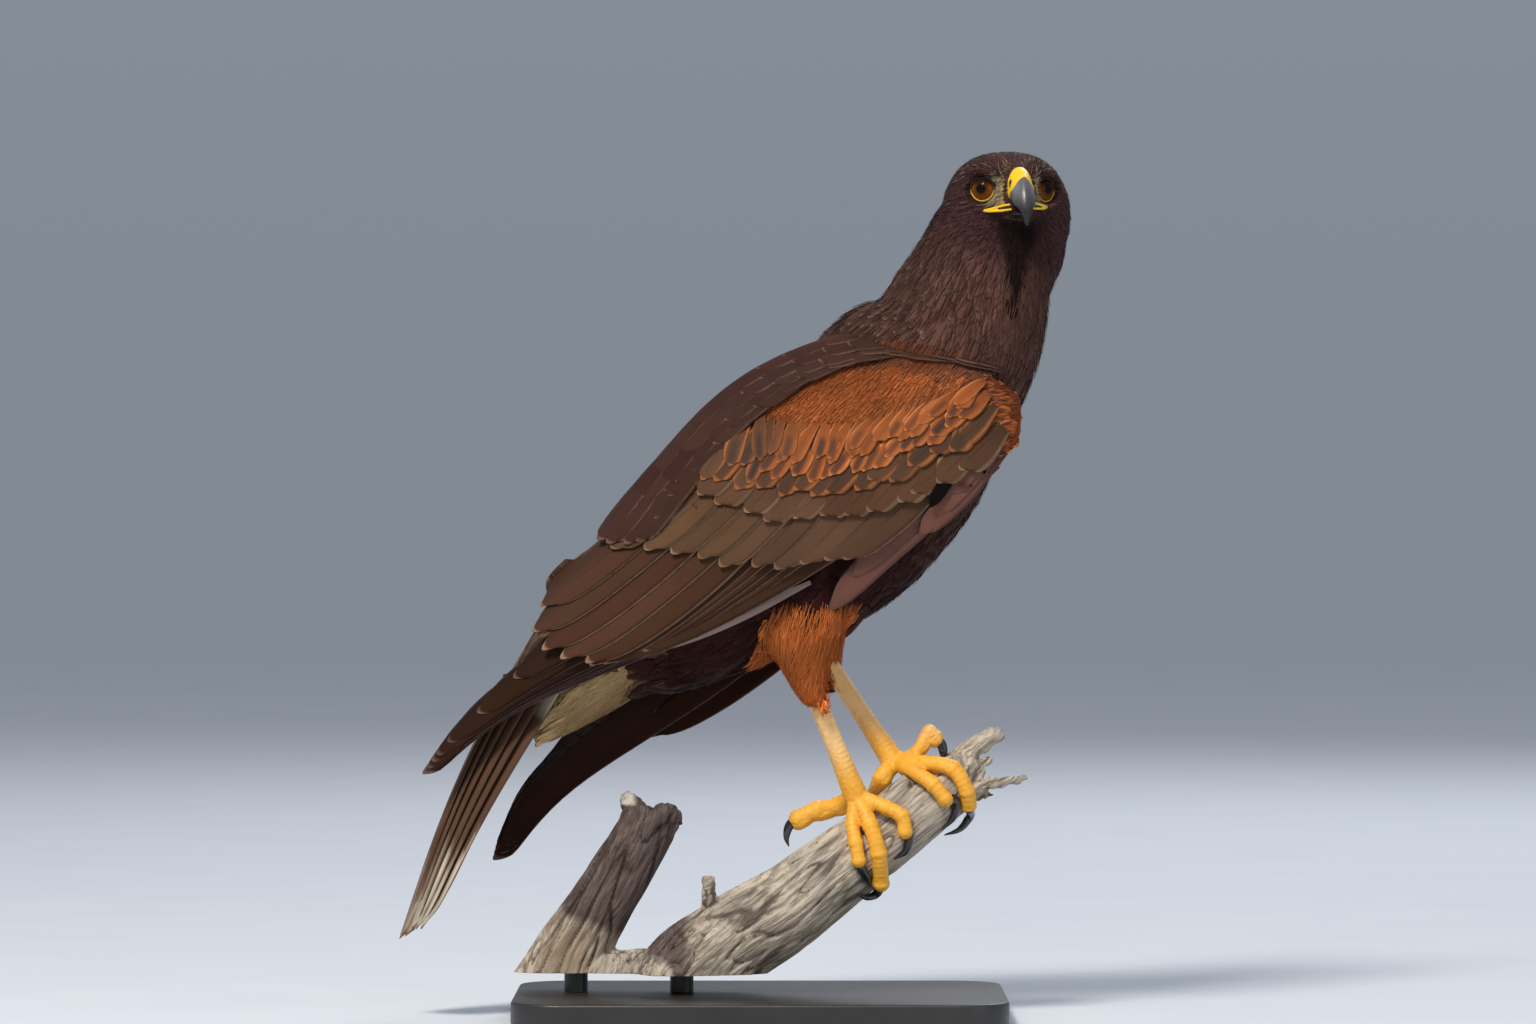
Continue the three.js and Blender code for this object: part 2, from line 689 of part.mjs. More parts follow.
// Perch: stations of the main arm and of the stub, [x, y, z, radius].
const MAIN_ARM = [
  [-56, -6, -4, 26.5],
  [-41.5, -5, 19.5, 25.5],
  [-22, -4, 36, 23.5],
  [9.7, -2, 55.6, 21.4],
  [48, 0, 84, 18.8],
  [80.6, 4, 108, 16.6],
  [98, 6, 121, 13.4],
  [108, 7, 128, 6.5],
];
const STUB = [
  [-121, 10, -4, 22.5],
  [-103, 9, 28, 19.5],
  [-86, 8, 54, 16.8],
  [-70, 7, 80, 15.2],
  [-60.5, 6, 98, 14.6],
  [-57, 6, 104, 12],
];
const SPLINTERS = [
  { from: [88, 9, 123], to: [120.5, 12, 145.5], radii: [8, 5, 4.4, 2.4] },
  { from: [92, 0, 113], to: [133.5, -2, 121.5], radii: [6.5, 3.2, 2.6, 1.4] },
  { from: [90, 4, 116], to: [114, 8, 131], radii: [8, 4.5, 3, 1.4] },
  { from: [90, 2, 109], to: [116, 2, 113], radii: [6, 3.6, 2.4, 1.2] },
  { from: [-63, 8, 98], to: [-74.5, 8, 112.5], radii: [9, 7, 5.6, 4.4] },
  { from: [-58, 4, 98], to: [-45, 3, 107], radii: [9, 8, 6.4, 4] },
  { from: [-34, -10, 46], to: [-35.5, -12, 70.5], radii: [6, 3.8, 3.2, 2.6] },
  { from: [50, -8, 94], to: [72, -7, 121], radii: [6, 6.4, 6, 3.6] },
];

function armOfPerch(stations, phase, grow) {
  const read = [0, 1, 2, 3].map((column) => through(...stations.map((row, i) => [i, row[column]])));
  const rings = [];
  const last = stations.length - 1;
  const steps = last * 2;
  for (let r = 0; r <= steps; r++) {
    const t = (r / steps) * last;
    const [x, y, z, radius] = read.map((value) => value(t));
    const ahead = Math.min(t + 0.1, last);
    const behind = Math.max(t - 0.1, 0);
    const along = v3(...[0, 1, 2].map((c) => read[c](ahead) - read[c](behind))).normalize();
    const up = v3(0, 1, 0).cross(along).normalize().negate();
    const front = v3(0, 0, 0).crossVectors(along, up).normalize();
    const ring = [];
    for (let k = 0; k < 14; k++) {
      const a = (2 * Math.PI * k) / 14;
      const grain = 1 + 0.035 * Math.sin(3 * a + phase + t) + 0.03 * Math.sin(5 * a - 1.3 * t + phase);
      ring.push(
        v3(x, y, z)
          .addScaledVector(up, Math.cos(a) * (radius * grain + grow))
          .addScaledVector(front, Math.sin(a) * (radius * grain + grow)),
      );
    }
    rings.push(ring);
  }
  return solid(loft(rings));
}

function perch(grow = 0) {
  const splinters = SPLINTERS.map(({ from, to, radii }) => {
    const [a, b] = [v3(...from), v3(...to)];
    const bent = a.clone().lerp(b, 0.5).add(v3(0, 0, 1.2));
    return solid(limb([a, bent, b], radii, 3, 6, grow));
  });
  const web = [v3(-106, 9, 18), v3(-76, 3, 19), v3(-46, -4, 18)];
  const crotch = solid(limb(web, [17, 14.5, 19], 4, 12, grow));
  const whole = join(armOfPerch(MAIN_ARM, 0.4, grow), armOfPerch(STUB, 2.1, grow), crotch, splinters);
  const below = block(400, 200, 100, 0, 0, PERCH_CUT - 50 - grow);
  return largest(cut(whole, below));
}

// Feet. A toe is given where it shows in the picture plane, and its depth follows the round of the perch.
function onPerch(x, z, clear, behind) {
  let best = null;
  for (let i = 0; i + 1 < MAIN_ARM.length; i++) {
    for (let t = 0; t <= 1; t += 0.05) {
      const [a, b] = [MAIN_ARM[i], MAIN_ARM[i + 1]];
      const far = Math.hypot(lerp(a[0], b[0], t) - x, lerp(a[2], b[2], t) - z);
      if (!best || far < best.far) best = { far, y: lerp(a[1], b[1], t), radius: lerp(a[3], b[3], t) };
    }
  }
  const reach = best.radius * 1.03 + clear;
  return v3(x, best.y + (behind ? 1 : -1) * Math.sqrt(Math.max(reach ** 2 - best.far ** 2, 0)), z);
}

// Toes 1 to 4: 1 is the hind toe, 2 the inner, 3 the middle and 4 the outer.
// path: [x, z] from the foot's hub to the last joint; claw: [x, z] from there to its point.
const TOES = {
  right: [
    { path: [[36, 107], [25, 104.6], [15.5, 100.5]], claw: [[11, 97], [9.4, 91], [10.6, 86.5]], behind: true, girth: 5.2 },
    { path: [[60, 107], [68, 102.5], [69.5, 95]], claw: [[71.5, 92.5], [70, 85], [64, 80.5]], girth: 4.1 },
    { path: [[52, 98], [56, 84], [57.5, 68.5]], claw: [[55, 62.5], [50, 61], [45.5, 63]], girth: 4.5 },
    { path: [[43, 98], [44.5, 89], [46, 80.5]], claw: [[47.5, 76], [50, 71.5], [51.5, 67]], girth: 3.9 },
  ],
  left: [
    { path: [[58, 121], [55, 112]], claw: [[51.5, 107], [49, 101], [48.5, 96]], behind: true, girth: 4.8 },
    { path: [[76, 134], [82.5, 144.5], [86, 141]], claw: [[88.5, 138.5], [89.5, 134], [89, 130]], behind: true, girth: 4 },
    { path: [[80, 129], [94, 126.5], [101, 115], [102.5, 106]], claw: [[103, 101.5], [98, 95], [90, 92]], girth: 4.4 },
    { path: [[75, 124.5], [84, 118.5], [90, 111]], claw: [[95, 110.5], [94.5, 102], [88.5, 95]], girth: 4.2 },
  ],
};

function toeSpine(name, number) {
  const { path, behind, girth } = TOES[name][number];
  const points = path.map(([x, z]) => onPerch(x, z, girth * 0.95, behind));
  return [hubOf(name), ...points];
}

function toe(name, number, grow = 0) {
  const { girth } = TOES[name][number];
  const points = toeSpine(name, number);
  const radii = points.map((_, i) => girth * (i === 0 ? 1.08 : i === points.length - 1 ? 0.96 : 1));
  return solid(limb(points, radii, 8, 9, grow));
}

function claw(name, number, grow = 0) {
  const { claw: path, behind, girth } = TOES[name][number];
  const last = toeSpine(name, number).at(-1);
  const points = path.map(([x, z], i) => onPerch(x, z, [2.4, 1.9, 0.8][i], behind));
  return solid(limb([last, ...points], [girth * 0.62, 2.5, 1.7, 0.5], 6, 7, grow));
}

// Stand
function standBase() {
  const { long, deep, thick, corner, middle } = BASE;
  const [w, d] = [long / 2 - 1, deep / 2 - 1];
  const outline = new THREE.Shape();
  outline.moveTo(-w + corner, -d);
  outline.lineTo(w - corner, -d);
  outline.absarc(w - corner, -d + corner, corner, -Math.PI / 2, 0);
  outline.lineTo(w, d - corner);
  outline.absarc(w - corner, d - corner, corner, 0, Math.PI / 2);
  outline.lineTo(-w + corner, d);
  outline.absarc(-w + corner, d - corner, corner, Math.PI / 2, Math.PI);
  outline.lineTo(-w, -d + corner);
  outline.absarc(-w + corner, -d + corner, corner, Math.PI, 1.5 * Math.PI);
  const geometry = new THREE.ExtrudeGeometry(outline, {
    depth: thick - 2,
    bevelThickness: 1,
    bevelSize: 1,
    bevelSegments: 1,
    curveSegments: 6,
  });
  return solid(geometry.translate(middle, 0, 1));
}

function rod(x) {
  const { radius, from, to, y } = ROD;
  const geometry = new THREE.CylinderGeometry(radius, radius, to - from, 20);
  return solid(geometry.rotateX(Math.PI / 2).translate(x, y, (from + to) / 2));
}

// Assembly: each piece is cut back from the ones that it grows from or lies on.
const PAINT = {
  plumage: { color: 0x3a2620, roughness: 0.8 },
  wing: { color: 0x5a3a2a, roughness: 0.7 },
  rufous: { color: 0x9a4a22, roughness: 0.8 },
  white: { color: 0xcfc2a8, roughness: 0.85 },
  cere: { color: 0xe8b400, roughness: 0.45 },
  horn: { color: 0x3c444e, roughness: 0.3 },
  eye: { color: 0x5a2408, roughness: 0.05 },
  skin: { color: 0xe0942a, roughness: 0.55 },
  claw: { color: 0x1a1614, roughness: 0.25 },
  wood: { color: 0x9a8c7c, roughness: 0.9 },
  stand: { color: 0x2a2725, roughness: 0.5 },
};
const materials = Object.fromEntries(
  Object.entries(PAINT).map(([name, look]) => [name, new THREE.MeshStandardMaterial({ ...look, metalness: 0 })]),
);
const hawk = new THREE.Group();

function add(name, piece, paint) {
  const mesh = new THREE.Mesh(geometryOf(largest(piece)), materials[paint]);
  mesh.name = name;
  hawk.add(mesh);
}

const spine = (grow) => solid(loft(spineRings(grow)));
const spineFat = spine(GAP);
const skullFat = skull(2 * GAP);
const upper = join(billBody(-0.3, CERE_END, 4), lip(1), lip(-1));
const upperFat = join(billBody(-0.32, CERE_END, 4, GAP), lip(1, GAP), lip(-1, GAP));
const lowerFat = lowerBill(GAP);
const nostril = (side) => ball(onHead(33.4, 8.1 * side, 5.6), 1.7, 8);

add("torso", cut(spine(0), neckPlane(200, 100)), "plumage");
add("neck", cut(spine(0), neckPlane(200, GAP - 100), skullFat, upperFat, lowerFat), "plumage");

const sockets = [1, -1].map((side) => {
  const centre = eyeCentre(side);
  const mouth = centre.clone().addScaledVector(eyeLine(side), 4.5);
  return [ball(centre, EYE.radius + GAP), ball(mouth, EYE.radius - 0.4)];
});
const rims = [1, -1].map((side) => [brow(side), lid(side, 195, 345, 7.3, 3.4, 1.1), lid(side, 20, 160, 7.2, 3.6, 1.2)]);
const eyesFat = [1, -1].map((side) => ball(eyeCentre(side), EYE.radius + GAP));
const face = cut(join(cut(skull(0), sockets.flat()), rims.flat()), eyesFat, upperFat, lowerFat);
add("head", face, "plumage");
for (const [name, side] of Object.entries(SIDES)) add(`eye_${name}`, ball(eyeCentre(side), EYE.radius), "eye");
add("cere", cut(upper, nostril(1), nostril(-1), lowerFat), "cere");
add("bill_upper", cut(billBody(CERE_END + 0.012, 1, 8), lip(1, GAP), lip(-1, GAP)), "horn");
add("bill_lower", cut(lowerBill(), billBody(CERE_END - 0.1, 1, 8, GAP)), "horn");

const perchFat = perch(GAP);
add("perch", perch(), "wood");
const thighsFat = Object.keys(SIDES).map((name) => thigh(name, GAP));
const wings = Object.keys(SIDES).map((name) => {
  const place = wingPlace(name);
  return cut(join(arm(place), wingFeathers(place)), spineFat, skullFat, thighsFat);
});
Object.keys(SIDES).forEach((name, i) => add(`wing_${name}`, wings[i], "wing"));
add("tail", cut(tail(), spineFat, wings), "wing");
add("vent_coverts", cut(ventCoverts(), spineFat, tailRoot(GAP), tailHull(GAP), wings), "white");

for (const name of Object.keys(SIDES)) {
  add(`thigh_${name}`, cut(thigh(name), spineFat), "rufous");
  add(`tarsus_${name}`, cut(tarsus(name), thigh(name, GAP), perchFat), "skin");
  const shank = tarsus(name, GAP);
  const cleared = [];
  TOES[name].forEach((_, number) => {
    const made = largest(cut(toe(name, number), shank, perchFat, cleared));
    cleared.push(toe(name, number, GAP));
    add(`toe_${name}_${number + 1}`, made, "skin");
  });
  TOES[name].forEach((_, number) => {
    const made = cut(claw(name, number), cleared, perchFat);
    add(`claw_${name}_${number + 1}`, made, "claw");
  });
}

add("stand_base", standBase(), "stand");
ROD.places.forEach((x, i) => add(`stand_rod_${i + 1}`, rod(x), "stand"));

export default hawk;
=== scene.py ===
# %% [markdown]
# # A Harris's hawk on a dead branch, life size
#
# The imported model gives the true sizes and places. This script dresses it: one skin under a coat of
# separate feathers, flight feathers with shafts and barbs, layered eyes, a horn bill, scaled feet and a
# weathered branch. Blender works in metres, so sizes below are in millimetres and are scaled once, when a
# mesh is made.

import math
import random

import bmesh
import bpy
import numpy as np
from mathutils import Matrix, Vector, noise
from mathutils.bvhtree import BVHTree
from mathutils.kdtree import KDTree


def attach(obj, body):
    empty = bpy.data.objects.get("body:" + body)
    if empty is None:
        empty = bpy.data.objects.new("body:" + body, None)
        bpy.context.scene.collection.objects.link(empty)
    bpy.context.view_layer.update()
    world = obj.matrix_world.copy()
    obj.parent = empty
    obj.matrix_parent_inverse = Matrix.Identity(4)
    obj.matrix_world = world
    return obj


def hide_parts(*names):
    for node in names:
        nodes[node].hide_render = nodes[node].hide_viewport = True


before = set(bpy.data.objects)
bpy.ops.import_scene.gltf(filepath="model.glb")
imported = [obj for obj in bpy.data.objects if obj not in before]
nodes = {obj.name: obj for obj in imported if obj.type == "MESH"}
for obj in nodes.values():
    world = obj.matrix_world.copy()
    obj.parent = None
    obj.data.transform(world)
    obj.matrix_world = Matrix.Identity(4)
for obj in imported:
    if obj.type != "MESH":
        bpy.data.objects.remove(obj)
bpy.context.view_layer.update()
MM = 0.001
SIDES = {"right": -1, "left": 1}

# %% [markdown]
# ## Floor, light and camera
#
# The bird is seen from its right side by a level camera with a long lens, a little over three metres away.
# The lens follows from the width of what it sees at the bird's middle plane. A large soft lamp stands high
# at the upper left as the main light, a weak one fills from the right, and a third draws the edges from
# behind. The sky is paler near the floor's far edge, so that floor and background run into each other as on
# a studio sweep. The plain view transform keeps the browns as warm as they are mixed.

# %% Camera
VIEW = {"distance": 3300, "height": 257, "width": 783.4}
SENSOR = 36
camera_data = bpy.data.cameras.new("camera")
camera_data.sensor_width = SENSOR
camera_data.lens = SENSOR * VIEW["distance"] / VIEW["width"]
camera_data.clip_end = 60
camera = bpy.data.objects.new("camera", camera_data)
camera.location = (0, -VIEW["distance"] * MM, VIEW["height"] * MM)
camera.rotation_euler = (math.pi / 2, 0, 0)
bpy.context.scene.collection.objects.link(camera)
bpy.context.scene.camera = camera
bpy.context.scene.view_settings.view_transform = "Standard"
print("lens:", round(camera_data.lens, 1), "mm")

# %% Lamps
AIM = Vector((0.02, 0, 0.27))
LAMPS = {
    "lamp_main": {"place": (-1.0, -2.0, 2.7), "size": 0.8, "power": 110, "colour": (1, 0.95, 0.88)},
    "lamp_fill": {"place": (2.6, -2.4, 0.7), "size": 2.2, "power": 12, "colour": (0.9, 0.94, 1)},
    "lamp_edge": {"place": (0.9, 2.4, 2.2), "size": 1.4, "power": 30, "colour": (0.97, 0.98, 1)},
}
for name, look in LAMPS.items():
    data = bpy.data.lights.new(name, "AREA")
    data.size = look["size"]
    data.energy = look["power"]
    data.color = look["colour"]
    lamp = bpy.data.objects.new(name, data)
    lamp.location = look["place"]
    lamp.rotation_euler = (AIM - Vector(look["place"])).to_track_quat("-Z", "Y").to_euler()
    bpy.context.scene.collection.objects.link(lamp)
print("lamps:", list(LAMPS))

# %% Sky
HORIZON, ZENITH = (0.53, 0.60, 0.70, 1), (0.80, 0.86, 0.95, 1)
SKY_STRENGTH, ZENITH_FROM = 0.42, 0.35
sky = bpy.data.worlds.new("sky")
sky.use_nodes = True
add, join = sky.node_tree.nodes.new, sky.node_tree.links.new
background = sky.node_tree.nodes["Background"]
direction = add("ShaderNodeSeparateXYZ")
join(add("ShaderNodeTexCoord").outputs["Generated"], direction.inputs[0])
height = add("ShaderNodeMapRange")
height.interpolation_type = "SMOOTHSTEP"
height.inputs["From Max"].default_value = ZENITH_FROM
join(direction.outputs["Z"], height.inputs[0])
fade = add("ShaderNodeMix")
fade.data_type = "RGBA"
fade.inputs[6].default_value, fade.inputs[7].default_value = HORIZON, ZENITH
join(height.outputs[0], fade.inputs[0])
join(fade.outputs[2], background.inputs["Color"])
background.inputs["Strength"].default_value = SKY_STRENGTH
bpy.context.scene.world = sky
print("sky strength:", SKY_STRENGTH)

# %% [markdown]
# ## Small helpers
#
# Operators act on whatever is selected, so every piece starts by clearing the selection. A finish is a few
# shader nodes; the helper below makes a material and sets the plain numbers on the shader's own sockets.

# %% Selecting, finishing and handing over a piece


def only(*pieces):
    """Selects these objects alone and makes the first one active."""
    bpy.ops.object.select_all(action="DESELECT")
    for piece in pieces:
        piece.select_set(True)
    bpy.context.view_layer.objects.active = pieces[0]
    return pieces[0]


def apply_modifiers(piece):
    only(piece)
    for modifier in list(piece.modifiers):
        bpy.ops.object.modifier_apply(modifier=modifier.name)
    return piece


def hand_over(piece, slot, *replaced):
    """Places a finished piece on the model's one body and hides the parts that it replaces; slot is not used.
    """
    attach(piece, "root")
    if replaced:
        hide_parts(*replaced)
    print(piece.name, "faces:", len(piece.data.polygons))


# %% Materials from shader nodes


class Finish:
    """A material and short calls for its nodes."""

    def __init__(self, name, **plain):
        self.material = bpy.data.materials.new(name)
        self.material.use_nodes = True
        self.tree = self.material.node_tree
        self.shader = self.tree.nodes["Principled BSDF"]
        for socket, value in plain.items():
            self.shader.inputs[socket.replace("_", " ")].default_value = value

    def node(self, kind, links=(), **settings):
        made = self.tree.nodes.new(kind)
        for key, value in settings.items():
            setattr(made, key, value)
        for socket, source in dict(links).items():
            if isinstance(source, bpy.types.NodeSocket):
                self.tree.links.new(source, made.inputs[socket])
            else:
                made.inputs[socket].default_value = source
        return made

    def math(self, operation, a, b=0.0, c=0.0):
        return self.node("ShaderNodeMath", {0: a, 1: b, 2: c}, operation=operation).outputs[0]

    def times(self, *factors):
        """Two or more values multiplied."""
        product = factors[0]
        for factor in factors[1:]:
            product = self.math("MULTIPLY", product, factor)
        return product

    def mix(self, factor, a, b, blend="MIX"):
        made = self.node("ShaderNodeMix", {0: factor, 6: a, 7: b}, data_type="RGBA", blend_type=blend)
        return made.outputs[2]

    def shaded(self, factor, base, red, green, blue):
        """The base colour, multiplied by another one as far as the factor says."""
        return self.mix(factor, base, self.mix(1.0, base, (red, green, blue, 1), "MULTIPLY"))

    def ramp(self, factor, *stops):
        made = self.node("ShaderNodeValToRGB", {0: factor})
        ramp = made.color_ramp
        while len(ramp.elements) < len(stops):
            ramp.elements.new(0.5)
        for element, (place, colour) in zip(ramp.elements, stops):
            element.position = place
            element.color = (*colour, 1)
        return made.outputs[0]

    def noise(self, vector, scale, detail=4.0, rough=0.55):
        links = {"Vector": vector, "Scale": scale, "Detail": detail, "Roughness": rough}
        return self.node("ShaderNodeTexNoise", links).outputs[0]

    def place(self, stretch=(1, 1, 1), shift=(0, 0, 0)):
        """Object coordinates, stretched and moved."""
        source = self.node("ShaderNodeTexCoord").outputs["Object"]
        links = {"Vector": source, "Scale": stretch, "Location": shift}
        return self.node("ShaderNodeMapping", links).outputs[0]

    def stored(self, name="tint", output="Color"):
        """A value that is stored with the piece's points."""
        return self.node("ShaderNodeAttribute", attribute_name=name).outputs[output]

    def apart(self, vector):
        return self.node("ShaderNodeSeparateXYZ", {"Vector": vector}).outputs

    def smooth(self, value, low, high, start=0.0, end=1.0):
        links = {0: value, 1: low, 2: high, 3: start, 4: end}
        return self.node("ShaderNodeMapRange", links, interpolation_type="SMOOTHSTEP").outputs[0]

    def colour(self, source):
        self.tree.links.new(source, self.shader.inputs["Base Color"])
        return self

    def rough(self, source):
        self.tree.links.new(source, self.shader.inputs["Roughness"])
        return self

    def bump(self, height, strength, distance):
        links = {"Height": height, "Strength": strength, "Distance": distance}
        made = self.node("ShaderNodeBump", links)
        self.tree.links.new(made.outputs[0], self.shader.inputs["Normal"])


def paint(piece, finish):
    piece.data.materials.clear()
    piece.data.materials.append(finish.material)
    return piece


# %% The floor
FLOOR_RADIUS = 9
JUST_BELOW = (0, 0, -0.0004)
bpy.ops.object.select_all(action="DESELECT")
bpy.ops.mesh.primitive_circle_add(vertices=96, radius=FLOOR_RADIUS, fill_type="NGON", location=JUST_BELOW)
floor = bpy.context.object
floor.name = "floor"
bpy.ops.object.transform_apply(location=True)
studio = Finish("studio_floor", Roughness=0.9, Specular_IOR_Level=0.1)
speck = studio.noise(studio.place(), 9.0)
studio.colour(studio.mix(speck, (0.60, 0.64, 0.70, 1), (0.66, 0.69, 0.74, 1)))
paint(floor, studio)
print("floor radius:", FLOOR_RADIUS, "m")

# %% [markdown]
# ## Smooth curves and lofts
#
# Many forms here are rings joined along a line: the body, the bill, toes and the two arms of the branch.
# A smooth function through a few pairs gives each ring its size, so a form is a short list of stations.

# %% Smooth functions


def through(*pairs):
    """A smooth function through (x, y) pairs, for one number or an array."""
    xs, ys = (np.array(column, float) for column in zip(*pairs))
    last = len(xs) - 1
    low = np.maximum(np.arange(last + 1) - 1, 0)
    high = np.minimum(np.arange(last + 1) + 1, last)
    slope = (ys[high] - ys[low]) / (xs[high] - xs[low])

    def read(x):
        x = np.clip(x, xs[0], xs[-1])
        i = np.clip(np.searchsorted(xs, x, side="right") - 1, 0, last - 1)
        step = xs[i + 1] - xs[i]
        t = (x - xs[i]) / step
        lean = (1 - t) ** 2 * t * slope[i] * step - (1 - t) * t**2 * slope[i + 1] * step
        return ys[i] + (ys[i + 1] - ys[i]) * t * t * (3 - 2 * t) + lean

    return read


def stations_of(table, count):
    """The columns of a table of stations, each read smoothly at evenly spaced places."""
    t = np.linspace(0, len(table) - 1, count)
    return [through(*enumerate(column))(t) for column in zip(*table)]


def ease(x, low, high):
    """0 below low, 1 above high, and smooth between them."""
    t = np.clip((x - low) / (high - low), 0, 1)
    return t * t * (3 - 2 * t)


def mix(a, b, share):
    return a + (b - a) * share


def unit(v):
    return v / np.maximum(np.linalg.norm(v, axis=-1, keepdims=True), 1e-9)


def angles(count):
    """Evenly spaced angles of one full turn."""
    return np.linspace(0, 2 * np.pi, count, endpoint=False)


def nearest_on(points, line):
    """The index of the line's nearest point for each of many points, in batches to save memory."""
    batches = np.array_split(points, 60)
    return np.concatenate([np.argmin(((batch[:, None] - line[None]) ** 2).sum(-1), 1) for batch in batches])


print("halfway from 0 to 1:", ease(0.5, 0, 1))

# %% Meshes from rings


def mesh_object(name, points, faces):
    """A new object from points in millimetres."""
    mesh = bpy.data.meshes.new(name)
    mesh.from_pydata([tuple(p) for p in np.asarray(points) * MM], [], [tuple(map(int, f)) for f in faces])
    mesh.update()
    made = bpy.data.objects.new(name, mesh)
    bpy.context.scene.collection.objects.link(made)
    return made


def outward(piece):
    """Merges doubles and turns every face outwards."""
    shape = bmesh.new()
    shape.from_mesh(piece.data)
    bmesh.ops.remove_doubles(shape, verts=shape.verts, dist=1e-6)
    bmesh.ops.recalc_face_normals(shape, faces=shape.faces)
    shape.to_mesh(piece.data)
    shape.free()
    return piece


def loft(name, rings):
    """Rings of equal count (rings, around, 3) joined into one closed skin."""
    rings = np.asarray(rings, float)
    count, around = rings.shape[:2]
    index = np.arange(count * around).reshape(count, around)
    quads = np.stack([index[:-1], np.roll(index[:-1], -1, 1), np.roll(index[1:], -1, 1), index[1:]], -1)
    faces = [*quads.reshape(-1, 4), index[0][::-1], index[-1]]
    return outward(mesh_object(name, rings.reshape(-1, 3), faces))


def spline(points, steps):
    """Points along a smooth line through a few, with the direction and the distance gone at each."""
    points = np.array(points, float)
    reach = np.concatenate([[0], np.cumsum(np.linalg.norm(np.diff(points, axis=0), axis=1))])
    at = np.linspace(0, reach[-1], steps + 1)
    line = np.stack([through(*zip(reach, points[:, axis]))(at) for axis in range(3)], -1)
    return line, unit(np.gradient(line, axis=0)), at


def limb(name, points, radii, steps, around, side=(0, 1, 0), taper=1.0):
    """A round limb through points; side is roughly across it."""
    line, along, at = spline(points, steps)
    radius = through(*zip(np.linspace(0, at[-1], len(radii)), radii))(at)
    side = np.array(side, float)
    across = unit(side - along * (along @ side)[:, None])
    up = np.cross(across, along)
    a = angles(around)
    ring = np.cos(a)[None, :, None] * up[:, None] + np.sin(a)[None, :, None] * across[:, None] * taper
    return loft(name, line[:, None] + ring * radius[:, None, None])


# %% Joining, fusing and moving


def join_all(name, pieces):
    only(*pieces)
    bpy.ops.object.join()
    pieces[0].name = name
    return pieces[0]


def melt(piece, voxel, rounds):
    """Fuses overlapping closed forms into one even mesh and smooths it."""
    remesh = piece.modifiers.new("remesh", "REMESH")
    remesh.mode = "VOXEL"
    remesh.voxel_size = voxel * MM
    piece.modifiers.new("soften", "SMOOTH").iterations = rounds
    return apply_modifiers(piece)


def rounded(piece):
    """One level of subdivision, applied."""
    smooth = piece.modifiers.new("round", "SUBSURF")
    smooth.levels = smooth.render_levels = 1
    return apply_modifiers(piece)


def points_of(piece):
    flat = np.empty(len(piece.data.vertices) * 3)
    piece.data.vertices.foreach_get("co", flat)
    return flat.reshape(-1, 3) / MM


def normals_of(piece):
    flat = np.empty(len(piece.data.vertices) * 3)
    piece.data.vertex_normals.foreach_get("vector", flat)
    return flat.reshape(-1, 3)


def move_points(piece, points):
    piece.data.vertices.foreach_set("co", (np.asarray(points) * MM).ravel())
    piece.data.update()


def shade(piece):
    piece.data.polygons.foreach_set("use_smooth", [True] * len(piece.data.polygons))
    piece.data.update()
    return piece


def tinted(piece, name, colours):
    """Stores one colour for each point, which a material reads by name."""
    layer = piece.data.attributes.new(name, "FLOAT_COLOR", "POINT")
    colours = np.asarray(colours, float)
    if colours.shape[-1] == 3:
        colours = np.concatenate([colours, np.ones((*colours.shape[:-1], 1))], -1)
    layer.data.foreach_set("color", colours.ravel())
    return piece


print("helpers ready")

# %% [markdown]
# ## The stand
#
# The branch needs something to stand on: a flat base with rounded corners and two short rods, all in satin
# black. The base is a cube whose upright edges are bevelled wide and whose rims are bevelled a little. The
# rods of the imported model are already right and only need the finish.

# %% Base and rods
BASE = {"long": 250, "deep": 170, "thick": 12, "corner": 26, "rim": 1.4, "middle": -4}
bpy.ops.object.select_all(action="DESELECT")
bpy.ops.mesh.primitive_cube_add(size=1, location=(BASE["middle"] * MM, 0, BASE["thick"] * MM / 2))
base = bpy.context.object
base.name = "base_plate"
base.scale = (BASE["long"] * MM, BASE["deep"] * MM, BASE["thick"] * MM)
bpy.ops.object.transform_apply(location=True, rotation=True, scale=True)
shape = bmesh.new()
shape.from_mesh(base.data)
upright = [e for e in shape.edges if abs(e.verts[0].co.z - e.verts[1].co.z) > 0.005]
bmesh.ops.bevel(shape, geom=upright, offset=BASE["corner"] * MM, segments=14, profile=0.5, affect="EDGES")
level = [e for e in shape.edges if abs(e.verts[0].co.z - e.verts[1].co.z) < 1e-6 and e.is_manifold]
rims = [e for e in level if e.link_faces[0].normal.dot(e.link_faces[1].normal) < 0.5]
bmesh.ops.bevel(shape, geom=rims, offset=BASE["rim"] * MM, segments=4, profile=0.5, affect="EDGES")
shape.to_mesh(base.data)
shape.free()
only(base)
bpy.ops.object.shade_smooth_by_angle(angle=math.radians(35))

black = Finish("stand_black", Roughness=0.42, Coat_Weight=0.12, Coat_Roughness=0.3)
grainy = black.noise(black.place(), 900.0, 3.0)
cloudy = black.noise(black.place(), 18.0)
black.colour(black.ramp(cloudy, (0.3, (0.018, 0.017, 0.017)), (0.7, (0.03, 0.028, 0.027))))
black.rough(black.smooth(grainy, 0.2, 0.8, 0.34, 0.52)).bump(grainy, 0.15, 0.0001)
for rod in ("stand_rod_1", "stand_rod_2"):
    paint(nodes[rod], black)
hand_over(paint(base, black), "stand", "stand_base")

